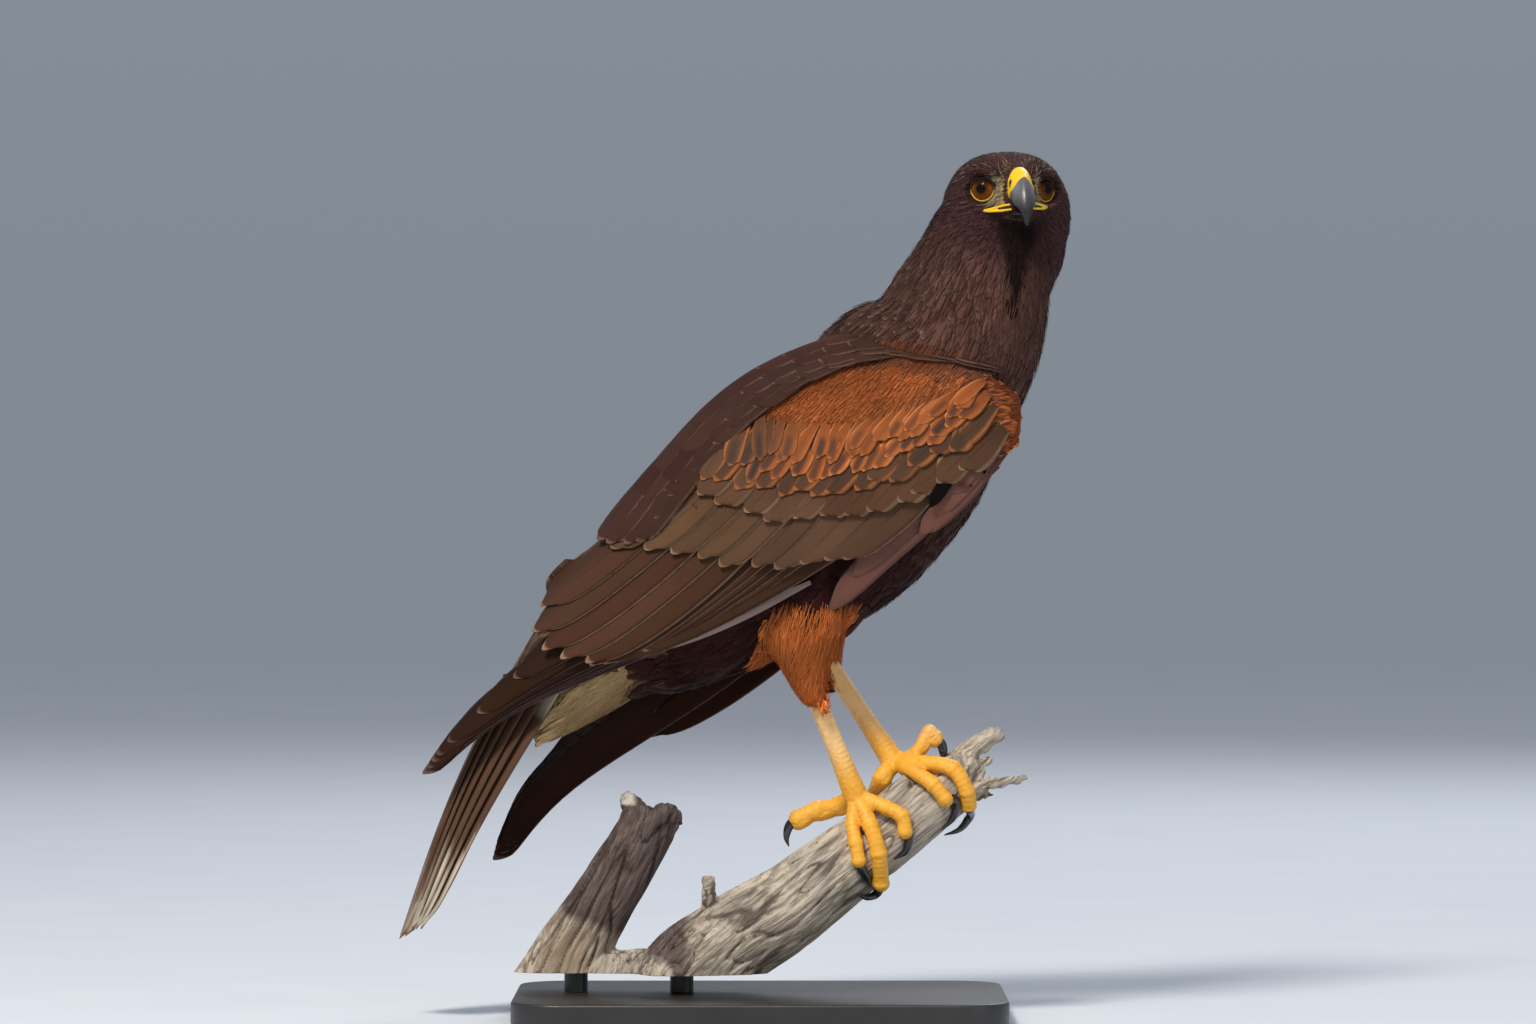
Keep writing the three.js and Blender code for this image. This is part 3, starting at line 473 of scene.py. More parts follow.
# %% [markdown]
# ## The dead branch
#
# Weathered wood has lost its bark: the grain stands out as long ridges and grooves, deep cracks run with it,
# and the broken ends are splintered. The branch is made of round limbs along its two arms, fused into one
# even mesh. Each point then learns how far along the arm it lies and at what angle, and is pushed in by
# noise that is stretched along the grain, so the relief is real geometry.

# %% Limbs of the branch, fused
MAIN_ARM = [
    (-56, -6, -4, 26.5),
    (-41.5, -5, 19.5, 25.5),
    (-22, -4, 36, 23.5),
    (9.7, -2, 55.6, 21.4),
    (48, 0, 84, 18.8),
    (80.6, 4, 108, 16.6),
    (98, 6, 121, 13.4),
    (108, 7, 128, 6.5),
]
STUB = [
    (-121, 10, -4, 22.5),
    (-103, 9, 28, 19.5),
    (-86, 8, 54, 16.8),
    (-70, 7, 80, 15.2),
    (-60.5, 6, 98, 14.6),
    (-57, 6, 104, 12),
]
SPLINTERS = [
    ((88, 9, 123), (119.5, 12, 145), (8, 6, 5.4, 3.8)),
    ((92, 0, 113), (133, -2, 121.5), (6.5, 4.2, 3, 1.7)),
    ((90, 4, 116), (114, 8, 131), (8, 4.5, 3, 1.4)),
    ((90, 2, 109), (116, 2, 113), (6, 3.6, 2.4, 1.2)),
    ((-63, 8, 98), (-74.5, 8, 112.5), (9, 7, 5.6, 4.4)),
    ((-60, 4, 95), (-44.5, 3, 102.5), (9, 9, 8, 5.4)),
    ((-29.6, -10, 46), (-30.5, -12, 72), (7, 5, 4.3, 3.6)),
    ((50, -8, 94), (72, -7, 121), (6, 6.4, 6, 3.6)),
]
CROTCH = [(-106, 9, 18), (-76, 3, 19), (-46, -4, 18)]
ARM_RINGS = 90


def branch_arm(name, stations, phase):
    t = np.linspace(0, len(stations) - 1, ARM_RINGS)
    x, y, z, radius = stations_of(stations, ARM_RINGS)
    line = np.stack([x, y, z], -1)
    along = unit(np.gradient(line, axis=0))
    up = unit(np.cross(np.array([0, 1.0, 0]), along))
    front = np.cross(along, up)
    a = angles(72)
    broad = 0.035 * np.sin(3 * a[None] + phase + t[:, None])
    fine = 0.03 * np.sin(5 * a[None] - 1.3 * t[:, None] + phase)
    reach = radius[:, None] * (1 + broad + fine)
    ring = np.cos(a)[None, :, None] * up[:, None] + np.sin(a)[None, :, None] * front[:, None]
    return loft(name, line[:, None] + ring * reach[..., None]), line


main_arm, main_line = branch_arm("main_arm", MAIN_ARM, 0.4)
stub, stub_line = branch_arm("stub", STUB, 2.1)
limbs = [main_arm, stub, limb("crotch", CROTCH, (17, 14.5, 19), 14, 32)]
for k, (start, end, radii) in enumerate(SPLINTERS):
    bent = (np.array(start) + np.array(end)) / 2 + np.array((0, 0, 1.2))
    limbs.append(limb(f"splinter_{k}", [start, bent, end], radii, 16, 20))
perch = melt(join_all("branch", limbs), 1.0, 3)
print("branch points:", len(perch.data.vertices))

# %% Where each point lies on the arms
arm_lines = np.concatenate([main_line, stub_line])
arm_ways = np.concatenate([unit(np.gradient(line, axis=0)) for line in (main_line, stub_line)])
steps = [np.linalg.norm(np.diff(line, axis=0, prepend=line[:1]), axis=1) for line in (main_line, stub_line)]
STUB_STARTS = 700
arm_reach = np.concatenate([np.cumsum(steps[0]), np.cumsum(steps[1]) + STUB_STARTS])


def arm_frame(points):
    """For each point: the place along the nearest arm in mm, and the outward direction from it."""
    nearest = nearest_on(points, arm_lines)
    off = points - arm_lines[nearest]
    ahead = (off * arm_ways[nearest]).sum(-1)
    return arm_reach[nearest] + ahead, off - arm_ways[nearest] * ahead[:, None]


print("main arm:", round(float(arm_reach[ARM_RINGS - 1])), "mm long")

# %% Grain, cracks and a knot
KNOT = (-13, -26, 60)
TWIST = 0.012


def ridged(across, size, drift, shift=(0, 0, 0)):
    """Noise drawn out along the grain; it is 1 in the middle of a crack."""
    spot = Vector((across.x * size, across.y * size, across.z * size + drift)) + Vector(shift)
    return 1 - abs(noise.noise(spot))


def grain_depth(points):
    """How deep the weather has bitten at each point, in mm."""
    s, out = arm_frame(points)
    depth = np.empty(len(points))
    for i, (reach, (x, y, z)) in enumerate(zip(s, out)):
        cx, sx = math.cos(TWIST * reach), math.sin(TWIST * reach)
        across = Vector((x * cx - y * sx, x * sx + y * cx, z))
        fine = ridged(across, 0.26, reach * 0.011)
        coarse = ridged(across, 0.13, reach * 0.009, (7, 3, 1))
        lumps = noise.noise(Vector((across.x * 0.05, across.y * 0.05, reach * 0.04)))
        depth[i] = 0.9 * fine**7 + 2.0 * coarse**14 + 1.0 * lumps
    knot = np.linalg.norm((points - np.array(KNOT)) * (0.6, 1, 1), axis=1)
    ring = 0.8 * np.exp(-(((knot - 11) / 3.0) ** 2)) + 1.5 * np.exp(-((knot / 5.0) ** 2))
    return depth + ring, s, out


before = points_of(perch)
depth, _, _ = grain_depth(before)
free_end = ease(before[:, 0], 86, 112) + ease(before[:, 2], 96, 112) * (before[:, 0] < -30)
held = np.exp(-(((before[:, 0] - 62) / 34) ** 2)) * (before[:, 0] > -10)
inward = np.maximum(depth, 0.02) * (1 - 0.55 * held)
ragged = np.array([noise.noise(Vector(p * 0.16)) for p in before]) * 2.2 * np.clip(free_end, 0, 1)
move_points(perch, before - normals_of(perch) * (inward - 0.25 + ragged)[:, None])
print("deepest groove:", round(float(depth.max()), 2), "mm")

# %% Cut the foot flat and store the grain
PERCH_CUT = 22.3
only(perch)
bpy.ops.object.mode_set(mode="EDIT")
bpy.ops.mesh.select_all(action="SELECT")
bpy.ops.mesh.bisect(plane_co=(0, 0, PERCH_CUT * MM), plane_no=(0, 0, 1), clear_inner=True, use_fill=True)
bpy.ops.object.mode_set(mode="OBJECT")
shade(outward(perch))
groove, reach, out = grain_depth(points_of(perch))
tinted(perch, "groove", np.repeat(np.clip(groove / 2.6, 0, 1)[:, None], 3, 1))
sideways = out[:, 0] + 0.4 * out[:, 1], out[:, 2] - 0.4 * out[:, 1]
tinted(perch, "fibre", np.stack([reach * 0.07, sideways[0] * 0.9, sideways[1] * 0.9], -1))
print("branch faces:", len(perch.data.polygons))

# %% Weathered wood
wood = Finish("weathered_wood", Roughness=0.88, Specular_IOR_Level=0.2)
groove = wood.stored("groove", "Fac")
fibre = wood.stored("fibre", "Vector")
streaks = wood.noise(fibre, 1.0, 6.0, 0.65)
fine_fibre = wood.noise(fibre, 3.4, 4.0, 0.6)
blotches = wood.noise(wood.place(), 34.0, 5.0, 0.6)
stains = wood.noise(wood.place(shift=(0.3, 0, 0)), 16.0, 3.0)
bleached = wood.mix(wood.smooth(streaks, 0.36, 0.64), (0.23, 0.18, 0.135, 1), (0.62, 0.535, 0.42, 1))
warm = wood.mix(wood.smooth(stains, 0.52, 0.72, 0.0, 0.6), bleached, (0.30, 0.20, 0.12, 1))
grey = wood.mix(wood.smooth(blotches, 0.4, 0.7, 0.0, 0.55), warm, (0.42, 0.38, 0.33, 1))
# Painted shade: the deep grooves and the knot are darkened by their depth.
dark = wood.mix(wood.smooth(groove, 0.12, 0.75, 0.0, 0.85), grey, (0.075, 0.055, 0.045, 1))
cracks = wood.mix(wood.smooth(fine_fibre, 0.42, 0.3, 0.0, 0.75), dark, (0.10, 0.075, 0.06, 1))
# Painted shadow: the stub's upper part, above a slanting line with a noisy edge, is darkened as if the bird's
# shadow lay on it.
spot = wood.apart(wood.place())
height = wood.math("MULTIPLY_ADD", blotches, 0.02, spot["Z"])
shadow_reach = wood.smooth(wood.math("MULTIPLY_ADD", spot["X"], 0.45, height), 0.012, 0.02)
stub_shadow = wood.times(shadow_reach, wood.smooth(spot["X"], -0.036, -0.044))
shadowed_wood = wood.shaded(wood.times(stub_shadow, 0.92), cracks, 0.22, 0.175, 0.2)
pale_tip = wood.times(wood.smooth(spot["Z"], 0.1065, 0.1085), wood.smooth(spot["X"], -0.066, -0.07))
wood.colour(wood.mix(pale_tip, shadowed_wood, (0.62, 0.56, 0.48, 1)))
wood.bump(wood.math("MULTIPLY_ADD", fine_fibre, 0.6, streaks), 0.7, 0.0007)
hand_over(paint(perch, wood), "dead_wood", "perch")

# %% [markdown]
# ## Head, body and wings as plain forms
#
# A bird is a smooth body under a deep coat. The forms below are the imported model's own, drawn with more
# rings so that they are smooth: an egg-shaped torso and neck along a spine, a skull with its own directions
# (f towards the bill, l to the bird's left, u up), thighs, and a lens under each folded wing.

# %% The skull's own directions
HEAD_TURN = math.radians(10)
HEAD_AT = np.array([121.9, 2, 418])
HEAD_AXES = np.array([
    (math.sin(HEAD_TURN), -math.cos(HEAD_TURN), 0),
    (math.cos(HEAD_TURN), math.sin(HEAD_TURN), 0),
    (0, 0, 1),
])
EYE = {"radius": 8, "forward": 12.6, "side": 13.4, "up": 3, "turn": 33}


def on_head(f, l, u):
    return np.stack(np.broadcast_arrays(f, l, u), -1).astype(float) @ HEAD_AXES + HEAD_AT


def from_head(points):
    """f, l and u of points given in millimetres."""
    return ((points - HEAD_AT) @ HEAD_AXES.T).T


def eye_axes(side):
    """An eye's centre and its own three directions; out is the line of sight."""
    angle = math.radians(EYE["turn"])
    centre = on_head(EYE["forward"], EYE["side"] * side, EYE["up"])
    out = on_head(math.cos(angle), math.sin(angle) * side, 0) - on_head(0, 0, 0)
    up = np.array([0, 0, 1.0])
    return centre, out, up, np.cross(out, up) * side


cornea_spots = [centre + out * 6 for centre, out, _, _ in map(eye_axes, (1, -1))]
print("bill points to:", np.round(HEAD_AXES[0], 2))

# %% Skull and body
SKULL = [
    (-37, 5, 8, -5),
    (-34.5, 14, 14, -12),
    (-28, 24.5, 19.5, -30),
    (-16, 31.5, 22.5, -41),
    (-3, 34.2, 23.2, -46),
    (7, 32.4, 22.4, -42),
    (14, 27.2, 20.8, -33),
    (19.5, 19.6, 18.6, -23),
    (24.5, 12.6, 16.4, -16.5),
    (29, 9, 14.2, -13.6),
    (32, 7.2, 12.4, -11.6),
]
SPINE = [
    (124.5, 412, 28, 16),
    (119.7, 399, 35.8, 23.5),
    (110.8, 382, 37, 31),
    (103.6, 363.5, 41.6, 37),
    (92.5, 339, 46.5, 42),
    (73, 317, 55, 45),
    (54.5, 289.5, 60.5, 47),
    (31, 267.5, 64.5, 47),
    (5, 243, 59.5, 45),
    (-23, 217, 46.5, 39),
    (-49, 198, 35, 31),
    (-69, 190.5, 28, 25),
    (-86, 184, 22, 20),
    (-98, 178, 15, 14),
    (-104, 174, 8, 8),
]


def skull_form():
    f, wide, top, bottom = (column[:, None] for column in stations_of(SKULL, 60))
    a = angles(64)[None]
    across, upright = (np.sign(x) * np.abs(x) ** 0.9 for x in (np.cos(a), np.sin(a)))
    return loft("skull", on_head(f + 0 * a, across * wide, (top + bottom) / 2 + upright * (top - bottom) / 2))


def spine_line(count):
    x, z, deep, wide = stations_of(SPINE, count)
    line = np.stack([x, 0 * x, z], -1)
    along = unit(np.gradient(line, axis=0))
    back = np.stack([along[:, 2], 0 * x, -along[:, 0]], -1)
    return line, along, back, deep, wide


def body_form():
    line, _, back, deep, wide = spine_line(110)
    a = angles(64)[None, :, None]
    side = np.array([0, 1.0, 0])
    upright = np.cos(a) * back[:, None] * deep[:, None, None]
    return loft("body", line[:, None] + upright + np.sin(a) * side * wide[:, None, None])


print("stations:", len(SKULL), "and", len(SPINE))

# %% Thighs
THIGHS = {
    "right": [
        (22, 236, 22, 20),
        (19.5, 207, 20.5, 18.5),
        (14.5, 190, 17.5, 16),
        (17.6, 175, 11.6, 10.8),
        (21.6, 164.5, 8.6, 7.8),
        (24, 159, 6.8, 6.4),
    ],
    "left": [
        (26, 240, 24, 20),
        (23, 211, 20, 18),
        (24, 194, 15, 15),
        (27.5, 181, 10.6, 10),
        (31.5, 172.5, 8.2, 8),
        (34, 167, 6.8, 6.6),
    ],
}
THIGH_APART = 27
HUBS = {"right": (44.5, -11, 113), "left": (64.5, 9, 129)}


def thigh_line(name, count):
    x, z, deep, wide = stations_of(THIGHS[name], count)
    y = SIDES[name] * (THIGH_APART - 1.2 * np.linspace(0, 5, count))
    return np.stack([x, y, z], -1), deep, wide


def thigh_form(name):
    line, deep, wide = thigh_line(name, 40)
    a = angles(48)[None]
    x = line[:, 0:1] + np.cos(a) * deep[:, None]
    y = line[:, 1:2] + np.sin(a) * wide[:, None]
    z = line[:, 2:3] - np.cos(a) * deep[:, None] * 0.28
    return loft(f"thigh_{name}", np.stack([x, y, z], -1))


print("thigh rings:", len(THIGHS["right"]))

# %% [markdown]
# ## A folded wing laid out flat
#
# On paper a folded wing is easy to set out: u runs from the wrist towards the tip and v up towards the back.
# `wing_place` wraps that sheet round the body, so every feather can be given by two points on the sheet and
# a small height above it.

# %% The wing's sheet
WING = {
    "right": {"wrist": (131, 306.5), "droop": math.radians(30.6), "tip_out": 27, "reach": 1.0},
    "left": {"wrist": (110, 300), "droop": math.radians(41), "tip_out": 43, "reach": 0.95},
}
BACK_EDGE = ((-14, 22), (0, 38), (25, 64), (60, 84), (120, 91), (188, 73), (249, 51), (290, 38), (357, 20))
back_edge = through(*BACK_EDGE)
middle_line = through((-14, 8), (20, 14), (120, 16), (250, 10), (357, -4))


def wing_place(name):
    """A function that puts sheet points (u, v) with a height onto the folded wing."""
    wing = WING[name]
    a = wing["droop"]
    along = np.array([-math.cos(a), -math.sin(a)]) * wing["reach"]
    across = np.array([-math.sin(a), math.cos(a)])
    late = (300, 47 + (wing["tip_out"] - 47) * 0.55), (357, wing["tip_out"])
    wide = through((-14, 35), (0, 46), (22, 55), (60, 60.5), (120, 60.5), (180, 55), (240, 47), *late)

    def surface(u, v):
        middle = middle_line(u)
        s = (v - middle) / (back_edge(u) - middle)
        above = np.sqrt(np.maximum(1 - 0.93 * s * s, 0.05))
        turned = np.where(s > 0, above, 1 - 0.14 * ((middle - v) / 45) ** 2)
        x = wing["wrist"][0] + u * along[0] + v * across[0]
        z = wing["wrist"][1] + u * along[1] + v * across[1]
        return np.stack([x, SIDES[name] * wide(u) * turned, z], -1)

    def place(u, v, lift):
        u, v, lift = np.broadcast_arrays(np.asarray(u, float), v, lift)
        du = surface(u + 1, v) - surface(u - 1, v)
        dv = surface(u, v + 1) - surface(u, v - 1)
        out = unit(np.cross(du, dv))
        out = np.where((out[..., 1:2] * SIDES[name]) < 0, -out, out)
        return surface(u, v) + out * lift[..., None]

    return place


print("wing tips out:", [wing["tip_out"] for wing in WING.values()], "mm")

# %% Arm and saddle
arm_low = through((-4, 6), (1, -3), (10, -12), (40, -17), (90, -15), (135, 2), (172, 30))
arm_high = through((-4, 14), (1, 25), (10, 41), (40, 68), (90, 82), (135, 80), (172, 64))
arm_deep = through((-4, 3), (1, 7), (10, 11), (40, 14), (100, 14), (150, 9), (172, 3.5))


def arm_form(name):
    """The lens of muscle and small feathers from the wrist back to the elbow."""
    place = wing_place(name)
    u = np.concatenate([np.linspace(-4, 10, 8)[:-1], np.linspace(10, 172, 40)])[:, None]
    s = np.linspace(0, 1, 24)[None]
    v = arm_low(u) + (arm_high(u) - arm_low(u)) * s
    belly = np.sin(np.pi * np.clip(s, 0.04, 0.96)) ** 0.6
    outer = place(u, v, -1.4 - 1.2 * (1 - belly))
    inner = place(u, v, -2.4 - arm_deep(u) * belly)[:, ::-1]
    return loft(f"arm_{name}", np.concatenate([outer, inner], 1))


def saddle_form():
    """The back between the folded wings: a low roof from one wing's upper edge to the other's."""
    x = np.linspace(97, -84, 40)
    u = np.linspace(0, 290, 200)
    edges = [wing_place(name)(u, back_edge(u) - 7, -3.2) for name in SIDES]
    (y0, z0), (y1, z1) = ([np.interp(-x, -edge[:, 0], edge[:, k])[:, None] for k in (1, 2)] for edge in edges)
    line, _, back, deep, _ = spine_line(200)
    top = line + back * deep[:, None]
    body = np.interp(-x, -top[:, 0], top[:, 2])[:, None] - 6
    low = ease(-x, 40, 84)[:, None]
    s = np.linspace(0, 1, 17)[None]
    roof = z0 + (z1 - z0) * ease(s, 0, 1) + 3.2 * np.sin(np.pi * s)
    roof = roof + (np.minimum(body, roof) - roof) * low
    ring_y = np.concatenate([y0 + (y1 - y0) * s, y1 + (y0 - y1) * s], 1)
    ring_z = np.concatenate([roof, roof[:, ::-1] - 26], 1)
    return loft("saddle", np.stack([np.broadcast_to(x[:, None], ring_y.shape), ring_y, ring_z], -1))


print("arm length:", 172 + 4, "mm")

# %% The wedge under the tail, and the tail's root
VENT = np.array([(-58, 0, 181), (-121, 0, 137)], float)
TAIL = np.array([(-110, 0, 213), (-188.6, 0, 39.5)])
TAIL_BOW = 7
TAIL_LENGTH = math.hypot(*(TAIL[1] - TAIL[0])[::2])
TAIL_ROOT = [(-4, 12, 13, 11), (4, 17, 14, 14.5), (22, 19, 14, 13.5), (40, 20, 13, 11), (52, 14, 12, 7)]
ACROSS = np.array([0, 1.0, 0])
UP = np.array([0, 0, 1.0])


def vent_form():
    """The soft wedge under the tail."""
    length = math.hypot(*(VENT[1] - VENT[0])[::2])
    along = (VENT[1] - VENT[0]) / length
    down = np.array([-along[2], 0, along[0]])
    t = np.linspace(-0.1, 0.98, 28)[:, None]
    a = angles(36)[None]
    deep = through((0, 12), (0.3, 11), (0.7, 7.5), (1, 3))(t)
    v = np.cos(a) * through((0, 22), (0.3, 20), (0.7, 14), (1, 6))(t)
    lift = np.sin(a) * deep - 0.02 * v * v
    lift = np.where(lift < 0, lift * through((0, 1), (0.4, 1.35), (0.86, 2.4))(t), lift)
    line = VENT[0] + along * (t * length)[..., None]
    return loft("vent", line + down * lift[..., None] + ACROSS * v[..., None])


def tail_place(u, y, sink):
    """A point u mm down the tail, y across it and sink below the middle pair of feathers."""
    u, y, sink = np.broadcast_arrays(np.asarray(u, float), y, sink)
    along = (TAIL[1] - TAIL[0]) / TAIL_LENGTH
    up = np.array([along[2], 0, -along[0]])
    rise = TAIL_BOW * np.sin(np.pi * np.clip(u / TAIL_LENGTH, 0, 1)) - sink
    return TAIL[0] + along * u[..., None] + up * rise[..., None] + ACROSS * y[..., None]


def tail_root_form():
    u, wide, sink, deep = (column[:, None] for column in stations_of(TAIL_ROOT, 24))
    a = angles(40)[None]
    return loft("tail_root", tail_place(u, np.cos(a) * wide, sink + np.sin(a) * deep))


print("tail length:", round(TAIL_LENGTH, 1), "mm")

# %% [markdown]
# ## One skin
#
# All forms of flesh are fused by a voxel remesh, so no seam is left between head, neck, wing and thigh, and
# then smoothed. The skin lies under the coat: each point moves in along its normal by the depth that the
# feathers need there, thin on the face and deep on the breast.

# %% Fuse and sink the skin
BROW = ((25, 8.5, 9.6), (21.4, 15.2, 10.8), (14.5, 21, 10.8), (5, 24.5, 9.6))
forms = [body_form(), skull_form(), saddle_form(), vent_form(), tail_root_form()]
for side in (1, -1):
    ledge = [on_head(f, l * side, u) for f, l, u in BROW]
    forms.append(limb("brow", ledge, (1.6, 2.7, 2.5, 0.9), 24, 20, side=(0, 0, 1)))
forms += [thigh_form(name) for name in SIDES] + [arm_form(name) for name in SIDES]
skin = melt(join_all("skin", forms), 1.5, 6)
places = points_of(skin)
f, l, u = from_head(places)
face = ease(f, -10, 26) * ease(u, -34, -12)
sink = 2.3 - 1.7 * face - 0.9 * ease(u, 8, 20) * ease(np.hypot(f, l), 60, 40)
move_points(skin, places - normals_of(skin) * sink[:, None])
skin.modifiers.new("soften", "SMOOTH").iterations = 2
apply_modifiers(skin)
print("skin points:", len(places))

# %% Eye sockets and the skin's own map
floor_at = through((0, 7.2), (5, 5.6), (7, 4.6), (8.4, 6.0), (10, 14.0))
places = points_of(skin)
for side in (1, -1):
    centre, out, _, _ = eye_axes(side)
    off = places - centre
    ahead = off @ out
    around = off - out * ahead[:, None]
    apart = np.linalg.norm(around, axis=1) * (1 + 0.14 * ease(around[:, 2], 2, 7))
    deep = floor_at(apart)
    pushed = np.where((ahead > deep) & (ahead > 0) & (apart < 10), deep - ahead, 0.0)
    places = places + out * pushed[:, None]
move_points(skin, places)
only(shade(outward(skin)))
bpy.ops.object.mode_set(mode="EDIT")
bpy.ops.mesh.select_all(action="SELECT")
bpy.ops.uv.smart_project(angle_limit=math.radians(66), island_margin=0.002)
bpy.ops.object.mode_set(mode="OBJECT")
skin.data.uv_layers[0].name = "OFBake"
print("skin faces:", len(skin.data.polygons))

# %% [markdown]
# ## Where feathers grow, and which way
#
# Feathers grow in tracts: away from the bill over the head, down the neck and along the spine, down each
# thigh, and back under the tail. Each tract here is a share from 0 to 1 worked out from a point's place, and
# the shares blend, so lengths, colours and directions pass smoothly from one tract to the next.

# %% Tracts
spine_at, spine_along, spine_back, spine_deep, _ = spine_line(240)


def body_share(points):
    """Station of the spine (0 at the head), place from breast (-1) to back (1), and the spine's direction."""
    nearest = nearest_on(points[:, ::2], spine_at[:, ::2])
    off = points - spine_at[nearest]
    back = (off * spine_back[nearest]).sum(-1) / spine_deep[nearest]
    return nearest / 239 * 14, back, spine_along[nearest]


def head_share(points):
    f, l, u = from_head(points)
    return 1 - ease(np.sqrt((f + 5) ** 2 + l**2 + (u + 6) ** 2), 34, 52)


thigh_left = through((158, 16), (168, 11), (175, 4), (183, -2), (190, -6), (199, -2), (207, 1), (225, 10))
thigh_right = through((158, 30), (168, 31), (175, 33), (190, 37), (199, 43), (207, 46), (225, 54))


def thigh_share(points, name):
    if name == "right":
        x, y, z = points.T
        between = ease(x - thigh_left(z), -2, 3) * ease(thigh_right(z) - x, -3, 1)
        return between * ease(-y, 4, 10) * (1 - ease(z, 204, 222))
    line, deep, wide = thigh_line(name, 60)
    t = np.clip((line[0, 2] - points[:, 2]) / (line[0, 2] - line[-1, 2]), 0, 1)
    i = np.round(t * 59).astype(int)
    off = points - line[i]
    far = np.sqrt((off[:, 0] / deep[i]) ** 2 + (off[:, 1] / wide[i]) ** 2)
    return (1 - ease(far, 1.1, 1.35)) * (1 - ease(points[:, 2], 198, 222))


def vent_share(points, back):
    return ease(-points[:, 0], 45, 57) * (1 - ease(back, -0.1, 0.35))


def lore_share(g):
    """The bare skin between eye and bill."""
    side = ease(np.abs(g.l), 4.5, 7.5) * (1 - ease(np.abs(g.l), 13, 16))
    return g.head * ease(g.f, 16, 20) * side * ease(g.u, -7, -4.5) * (1 - ease(g.u, 6.5, 10.5))


print("spine points:", len(spine_at))

# %% Places on a folded wing
covered_low = through((44, -13), (60, -22), (90, -18), (130, -6), (172, -1), (235, 3))


def to_sheet(points, name):
    """u and v on a wing's sheet of points seen from the side, and how far they stand off it."""
    wing = WING[name]
    a = wing["droop"]
    dx, dz = points[:, 0] - wing["wrist"][0], points[:, 2] - wing["wrist"][1]
    u = (-dx * math.cos(a) - dz * math.sin(a)) / wing["reach"]
    v = -dx * math.sin(a) + dz * math.cos(a)
    return u, v, np.abs(points[:, 1] - wing_place(name)(u, v, 0.0)[:, 1])


def under_wing(points, name):
    """True where a folded wing hides the skin, the arm's own lens included."""
    u, v, off = to_sheet(points, name)
    same_side = points[:, 1] * SIDES[name] > 14
    arm = (u > -3) & (u < 172) & (v > arm_low(u) + 3) & (v < arm_high(u) - 5)
    covered = (u >= 44) & (u < 235) & (v > covered_low(u)) & (v < back_edge(u) - 5)
    return same_side & (arm & ((u > 60) | (off < 8)) | covered)


def arm_share(points):
    """The side of a folded arm, where the small rufous coverts grow."""
    share = np.zeros(len(points))
    for name in SIDES:
        u, v, off = to_sheet(points, name)
        along = ease(u, -10, -6) * (1 - ease(u, 160, 170))
        inside = along * ease(v - arm_low(u), -5, -2) * (1 - ease(v - arm_high(u), -2, 2))
        near = (points[:, 1] * SIDES[name] > 14) & (off < 13)
        share = np.maximum(share, inside * near)
    return share


print("skin under the right wing:", int(under_wing(points_of(skin), "right").sum()), "points")

# %% What grows where


class Growth:
    """What grows at each of many points: shares of the tracts and the direction of the feathers."""

    def __init__(self, points):
        self.points = points
        self.f, self.l, self.u = from_head(points)
        self.head = head_share(points)
        self.station, self.back, along = body_share(points)
        self.thigh = np.maximum(thigh_share(points, "right"), thigh_share(points, "left"))
        self.vent = vent_share(points, self.back)
        from_bill = unit(points - on_head(34, 0, 2))
        fall = (0.15 + 0.85 * ease(-self.f, -22, 24))[:, None]
        over_head = unit(from_bill + fall * np.array([0, 0, -1.0]))
        down_thigh = unit(np.array([-0.22, 0, -1.0]))
        back_under = unit(VENT[1] - VENT[0])
        way = along * (1 - self.head)[:, None] + over_head * self.head[:, None]
        on_leg = ease(self.thigh, 0.1, 0.5)[:, None]
        way = way * (1 - on_leg) + down_thigh * on_leg
        self.way = unit(way * (1 - self.vent)[:, None] + back_under * self.vent[:, None])


grown = Growth(points_of(skin))
print("head points:", int((grown.head > 0.5).sum()), "thigh points:", int((grown.thigh > 0.5).sum()))

# %% [markdown]
# ## Colours of the plumage
#
# The head and body are a dark brown with a breath of mauve, the shoulders and thighs rufous, the belly a
# very dark maroon, partly its own colour and partly painted shade on the underside, and the feathers under
# the tail white. Skin and feathers ask the same function, so no bright skin shines through a parting.

# %% Named colours


def seen(red, green, blue):
    """A screen colour (0 to 255) as the linear colour that a shader wants."""
    c = np.array([red, green, blue]) / 255
    return np.where(c <= 0.04045, c / 12.92, ((c + 0.055) / 1.055) ** 2.4)


CROWN = seen(68, 42, 42)
NECK = seen(92, 62, 53)
BREAST = seen(108, 73, 61)
BELLY = seen(48, 20, 17)
MANTLE = seen(74, 49, 40)
PALE_EDGE = seen(138, 106, 84)
RUFOUS = seen(178, 98, 50)
RUST = seen(140, 70, 38)
THIGH = seen(226, 128, 62)
CREAM = seen(222, 186, 134)
LORE = seen(178, 162, 124)
LORE_YELLOW = seen(208, 180, 64)


def blend(a, b, share):
    return a + (b - a) * np.asarray(share)[..., None]


